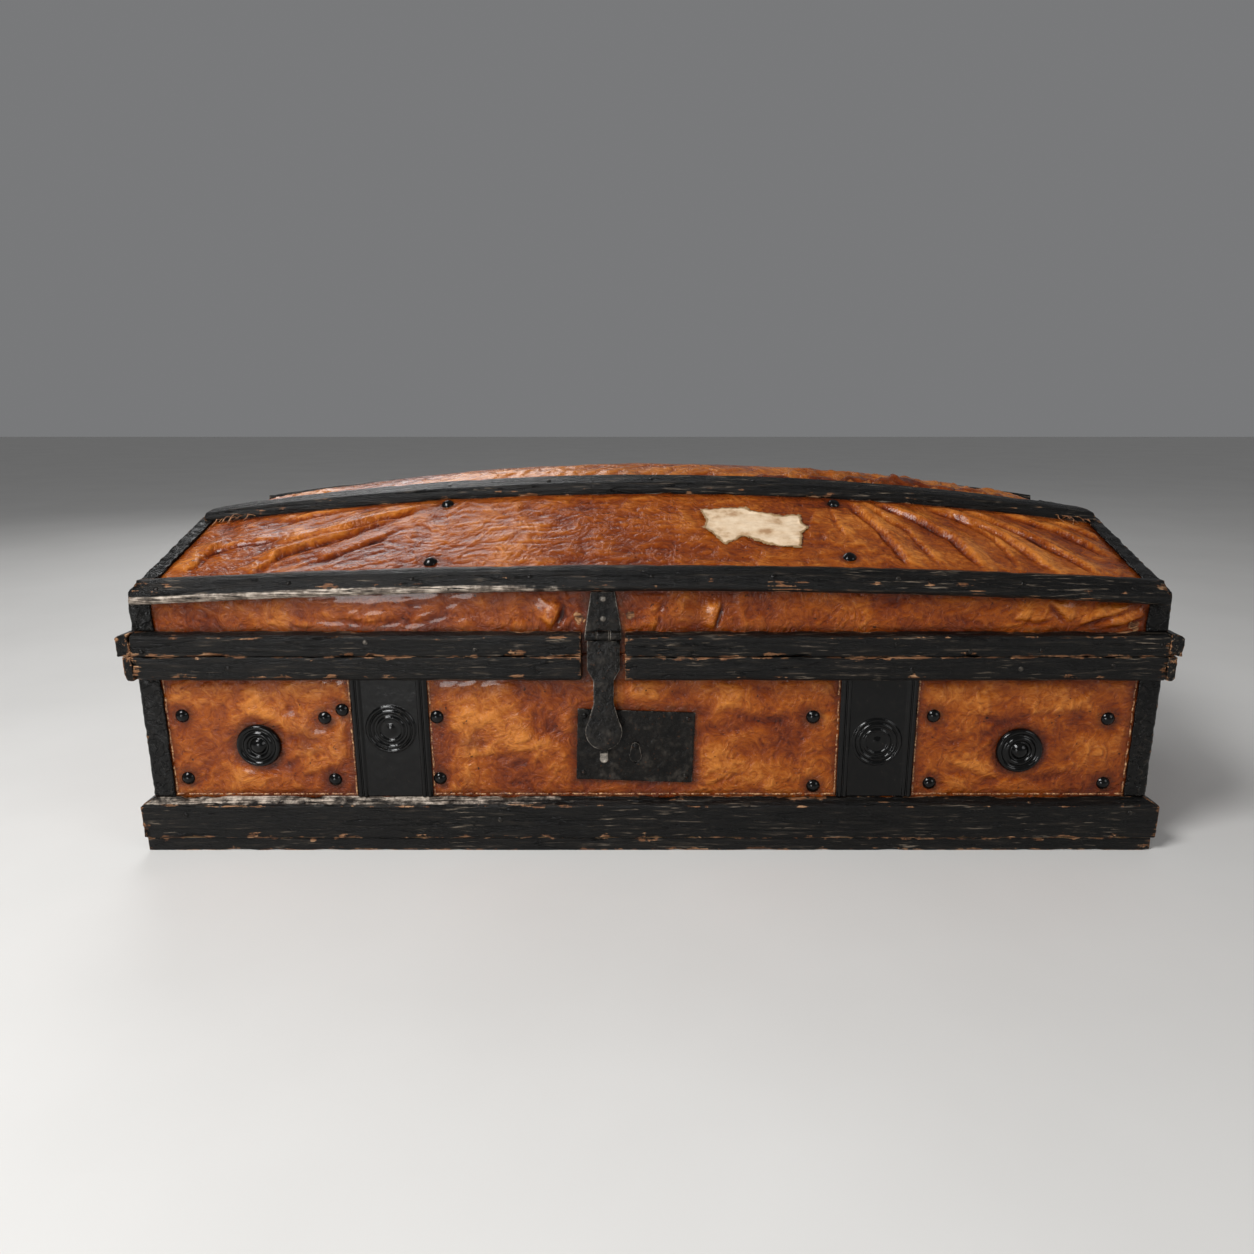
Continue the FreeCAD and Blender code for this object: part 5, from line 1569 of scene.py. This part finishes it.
# %% Torn outline
torn_outline = [(51.8, -120.1), (73, -118.5), (96.7, -115.6), (112, -124), (129.8, -130.9), (146, -127),
                (157.4, -126), (155, -139), (162.2, -149.6), (153, -160), (148.5, -187), (128.8, -184.5),
                (109.6, -176.4), (92.1, -167), (74.3, -183.1), (66, -170), (53.8, -157), (57, -143)]
torn_outline = [(x * mm, y * mm) for x, y in torn_outline + torn_outline[:1]]


def torn_rim(x, y):
    """How far a place lies inside the torn outline; negative outside it."""
    inside = False
    for (ax, ay), (bx, by) in zip(torn_outline, torn_outline[1:]):
        if (ay > y) != (by > y) and x < (bx - ax) * (y - ay) / (by - ay) + ax:
            inside = not inside
    off = abs(nearest_on(x, y, torn_outline)[0])
    ragged = 1.6 * mm * noise.fractal(Vector((x / (6 * mm), y / (6 * mm), 5.0)), 0.8, 2.0, 3)
    return (off if inside else -off) + ragged


print("torn outline of", len(torn_outline) - 1, "corners")

# %% Paper
paper_x, paper_y = 46 * mm, -192 * mm
paper_size = (122 * mm, 82 * mm)
glue = 0.45 * mm


def on_slope(u, v):
    """The slope's own u and v under a place on the paper."""
    return paper_x + hide_x + u, paper_y + hide_y + v


def paper_relief(u, v):
    rim = torn_rim(paper_x + u, paper_y + v)
    curl = 2.4 * mm * ease(7 * mm, 0.0, rim) * ease(-0.1, 0.6, lump(u, v, 201.0, 26 * mm))
    cockle = 0.35 * mm * (1 + lump(u, v, 203.0, 14 * mm))
    return front_slope_relief(*on_slope(u, v))[0] + glue + cockle + curl, 0.0, rim


sheet = laid_sheet(paper_size, 1.1 * mm, lambda u, v: front_slope_spot(*on_slope(u, v)), paper_relief)
rim_layer = sheet.verts.layers.float["bare"]
outer = [f for f in sheet.faces if sum(p[rim_layer] for p in f.verts) < 0]
bmesh.ops.delete(sheet, geom=outer, context="FACES")
bmesh.ops.delete(sheet, geom=[p for p in sheet.verts if not p.link_faces], context="VERTS")
wear_layer = sheet.verts.layers.float.new("wear")
for p in sheet.verts:
    p[wear_layer] = ease(6 * mm, 0.0, p[rim_layer])
thicken(place_piece("paper_scrap", sheet, "lid", paper), 0.25 * mm)

# %% [markdown]
# ## Torn and raw leather
# Three small things show that the cover is old. Behind the front slat the hide has split and stands up in
# curled flaps. Along the bands and corner strips its cut edge shows as a thin raised lip, broken in places
# and painted pale as a highlight along it. At the ends of the upper slat a few torn strips hang out. Each
# is a small sheet laid along a bent line.

# %% Loose flaps
flap_foot, flap_seat = -61 * mm, 3.5 * mm


def flap(into, x, length, width, steep, over, seed):
    """A flap that rises from the roof at one angle and has bent over to another at its free edge."""
    bent = over - steep

    def spot(u, v):
        ragged = 0.55 + 0.45 * math.sin(math.pi * u / length)
        ragged += 0.25 * noise.noise(Vector((u / (11 * mm), seed, 0.0)))
        turn = steep + bent * v / width
        reach = width / bent * ragged
        y = flap_foot + reach * (math.sin(turn) - math.sin(steep))
        y += 4 * mm * noise.noise(Vector((u / (20 * mm), seed, 5.0)))
        rise = reach * (math.cos(steep) - math.cos(turn))
        return Vector((x + u, y, roof(x + u, flap_foot) + flap_seat + rise))

    def relief(u, v):
        return 1.4 * mm * lump(u, v, seed, 14 * mm), 0.55 + 0.4 * lump(u, v, seed + 3, 20 * mm), 0.0

    join_in(into, laid_sheet((length, width), 2 * mm, spot, relief))


flaps = [(-345, 62, 13, 1.2, -0.4), (-280, 70, 11, 1.2, -0.3), (-205, 60, 11, 1.2, -0.2),
         (108, 58, 18, 1.3, -0.5), (160, 52, 22, 1.4, -0.7), (206, 50, 25, 1.3, -0.4),
         (246, 66, 30, 1.3, -0.2), (300, 46, 24, 1.5, -0.7), (336, 46, 26, 1.3, -0.5),
         (372, 42, 20, 1.4, -0.8)]
shape = bmesh.new()
for count, (x, length, width, steep, over) in enumerate(flaps):
    flap(shape, x * mm, length * mm, width * mm, steep, over, 210.0 + 7 * count)
thicken(place_piece("loose_flaps", shape, "lid", brown_hide), 1.2 * mm)

# %% Raw leather finish, also for the pale highlight on the cut edges
raw_leather_and_highlight, tree, shader, spot = new_finish("raw_leather_and_highlight")
fibres = swirl(tree, spot, 300.0, 3.0, 1.5)
colour = ramp(tree, fibres, (0.36, (0.060, 0.018, 0.006)), (0.52, (0.27, 0.100, 0.032)),
              (0.66, (0.60, 0.36, 0.17)))
fill(tree, shader, {"Base Color": colour, "Roughness": 0.42})
roughen(tree, shader, fibres, 0.6 * mm, 0.8)
print("raw leather finish:", len(tree.nodes), "nodes")

# %% Raw edges, painted pale as highlights
lip = 2.6 * mm


def raw_edge_highlight(into, start, end, aside, seed):
    """A thin ragged lip on the front hide between two (x, z) places, painted pale as a highlight; aside is
    the way across it.
    """
    start, end = (Vector((x, -hide_y, z)) for x, z in (start, end))
    run = end - start

    def spot(u, v):
        wander = 1.3 * mm * abs(noise.noise(Vector((u / (16 * mm), seed, 3.0))))
        return start + run.normalized() * u + Vector(aside) * (v + wander)

    def relief(u, v):
        ragged = noise.fractal(Vector((u / (7 * mm), seed, 0.0)), 0.8, 2.0, 3)
        return (-0.5 + (1.0 + 1.5 * ragged) * math.sin(math.pi * v / lip)) * mm, 0.0, 0.0

    join_in(into, laid_sheet((run.length, lip), 0.85 * mm, spot, relief))


shape = bmesh.new()
strip_line = hide_x + strip_thick - strip_leg
panels = [(-strip_line, bands[0][0]), (bands[0][1], bands[1][0]), (bands[1][1], strip_line)]
for count, (left, right) in enumerate(panels):
    raw_edge_highlight(shape, (left, rail_foot), (left, plinth_top), (1, 0, 0), 5.0 + count)
    raw_edge_highlight(shape, (right, plinth_top), (right, rail_foot), (-1, 0, 0), 15.0 + count)
    raw_edge_highlight(shape, (left, plinth_top), (right, plinth_top), (0, 0, 1), 25.0 + count)
thicken(place_piece("raw_hide_edges_highlight", shape, "case", raw_leather_and_highlight), 0.8 * mm)

# %% Frayed strips
fray_width = 1.8 * mm


def frayed_strip(into, place, heading, length, seed):
    """A narrow strip that starts along heading (x, y) and curls up and round."""
    side = Vector((-heading[1], heading[0], 0.0))

    def spot(u, v):
        share = u / length
        wander = 0.6 * length * share ** 2 * noise.noise(Vector((seed, 2.2 * share, 1.0)))
        x, y = Vector(place) + heading * u
        foot = roof(min(max(x, -hide_x), hide_x), y) + hide_thick + 1.5 * mm
        curl = 0.28 * length * math.sin(math.pi * share) * (1 + noise.noise(Vector((seed, 0.3, 4.0))))
        return Vector((x, y, foot + curl)) + side * (wander + v * (1 - 0.6 * share))

    def relief(u, v):
        return 0.2 * mm * lump(u, v, seed, 5 * mm), 0.0, 0.0

    join_in(into, laid_sheet((length, fray_width), 1.0 * mm, spot, relief))


shape = bmesh.new()
for side, count in ((-1, 9), (1, 7)):
    for i in range(count):
        turn = 2.2 * noise.noise(Vector((3.3 * i, side, 0.7)))
        heading = Vector((side * math.cos(turn), -abs(math.sin(turn)) - 0.35)).normalized()
        place = (side * (466 - 5 * i) * mm, -(88 + 2.0 * math.sin(5.0 * i)) * mm)
        length = (13 + 9 * noise.noise(Vector((1.7 * i, 4.0, side)))) * mm
        frayed_strip(shape, place, heading, length, 7.0 * i + side)
thicken(place_piece("frayed_strips", shape, "lid", raw_leather_and_highlight), 0.5 * mm)

# %% [markdown]
# ## The rest of the solid model
# What is left of the solid model keeps its own shape: the boards inside, the hinges, the lock's works and
# the pins. Each gets a finish. A Weld modifier joins its loose triangles and a Bevel eases its edges, so the
# mesh itself isn't touched.

# %% Finishes for the solids that stay
def dress(node, finish, eased):
    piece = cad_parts[node]
    piece.data.materials.clear()
    piece.data.materials.append(finish)
    weld = piece.modifiers.new("weld", "WELD")
    weld.merge_threshold = 0.002 * mm
    bevel = piece.modifiers.new("eased_edges", "BEVEL")
    bevel.width, bevel.segments = eased, 2
    bevel.limit_method, bevel.angle_limit = "ANGLE", math.radians(40)


staying = [
    (long_board, 0.5 * mm, ["front_board", "back_board", "lid_front_wall", "lid_back_wall",
                            "lid_front_slope_board", "lid_top_board", "lid_back_slope_board"]),
    (cross_board, 0.5 * mm, ["left_end_board", "right_end_board", "lid_left_end", "lid_right_end"]),
    (dark_iron, 0.25 * mm, ["hinge_body_leaves", "hinge_lid_leaves", "hinge_pins", "hasp_pin", "hasp_staple",
                            "lock_case", "lock_bolt", "cover_rivet"]),
]
for finish, eased, nodes in staying:
    for node in nodes:
        dress(node, finish, eased)
shown = [name for name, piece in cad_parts.items() if not piece.hide_render]
print(len(shown), "solids stay in sight:", ", ".join(sorted(shown)))

# %% [markdown]
# The size of the dressed trunk is printed. The dressed trunk may stand only a little proud of the solid
# model.

# %% Size and finish
low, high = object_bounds()
print("dressed trunk, metres:", [round(b - a, 3) for a, b in zip(low, high)])
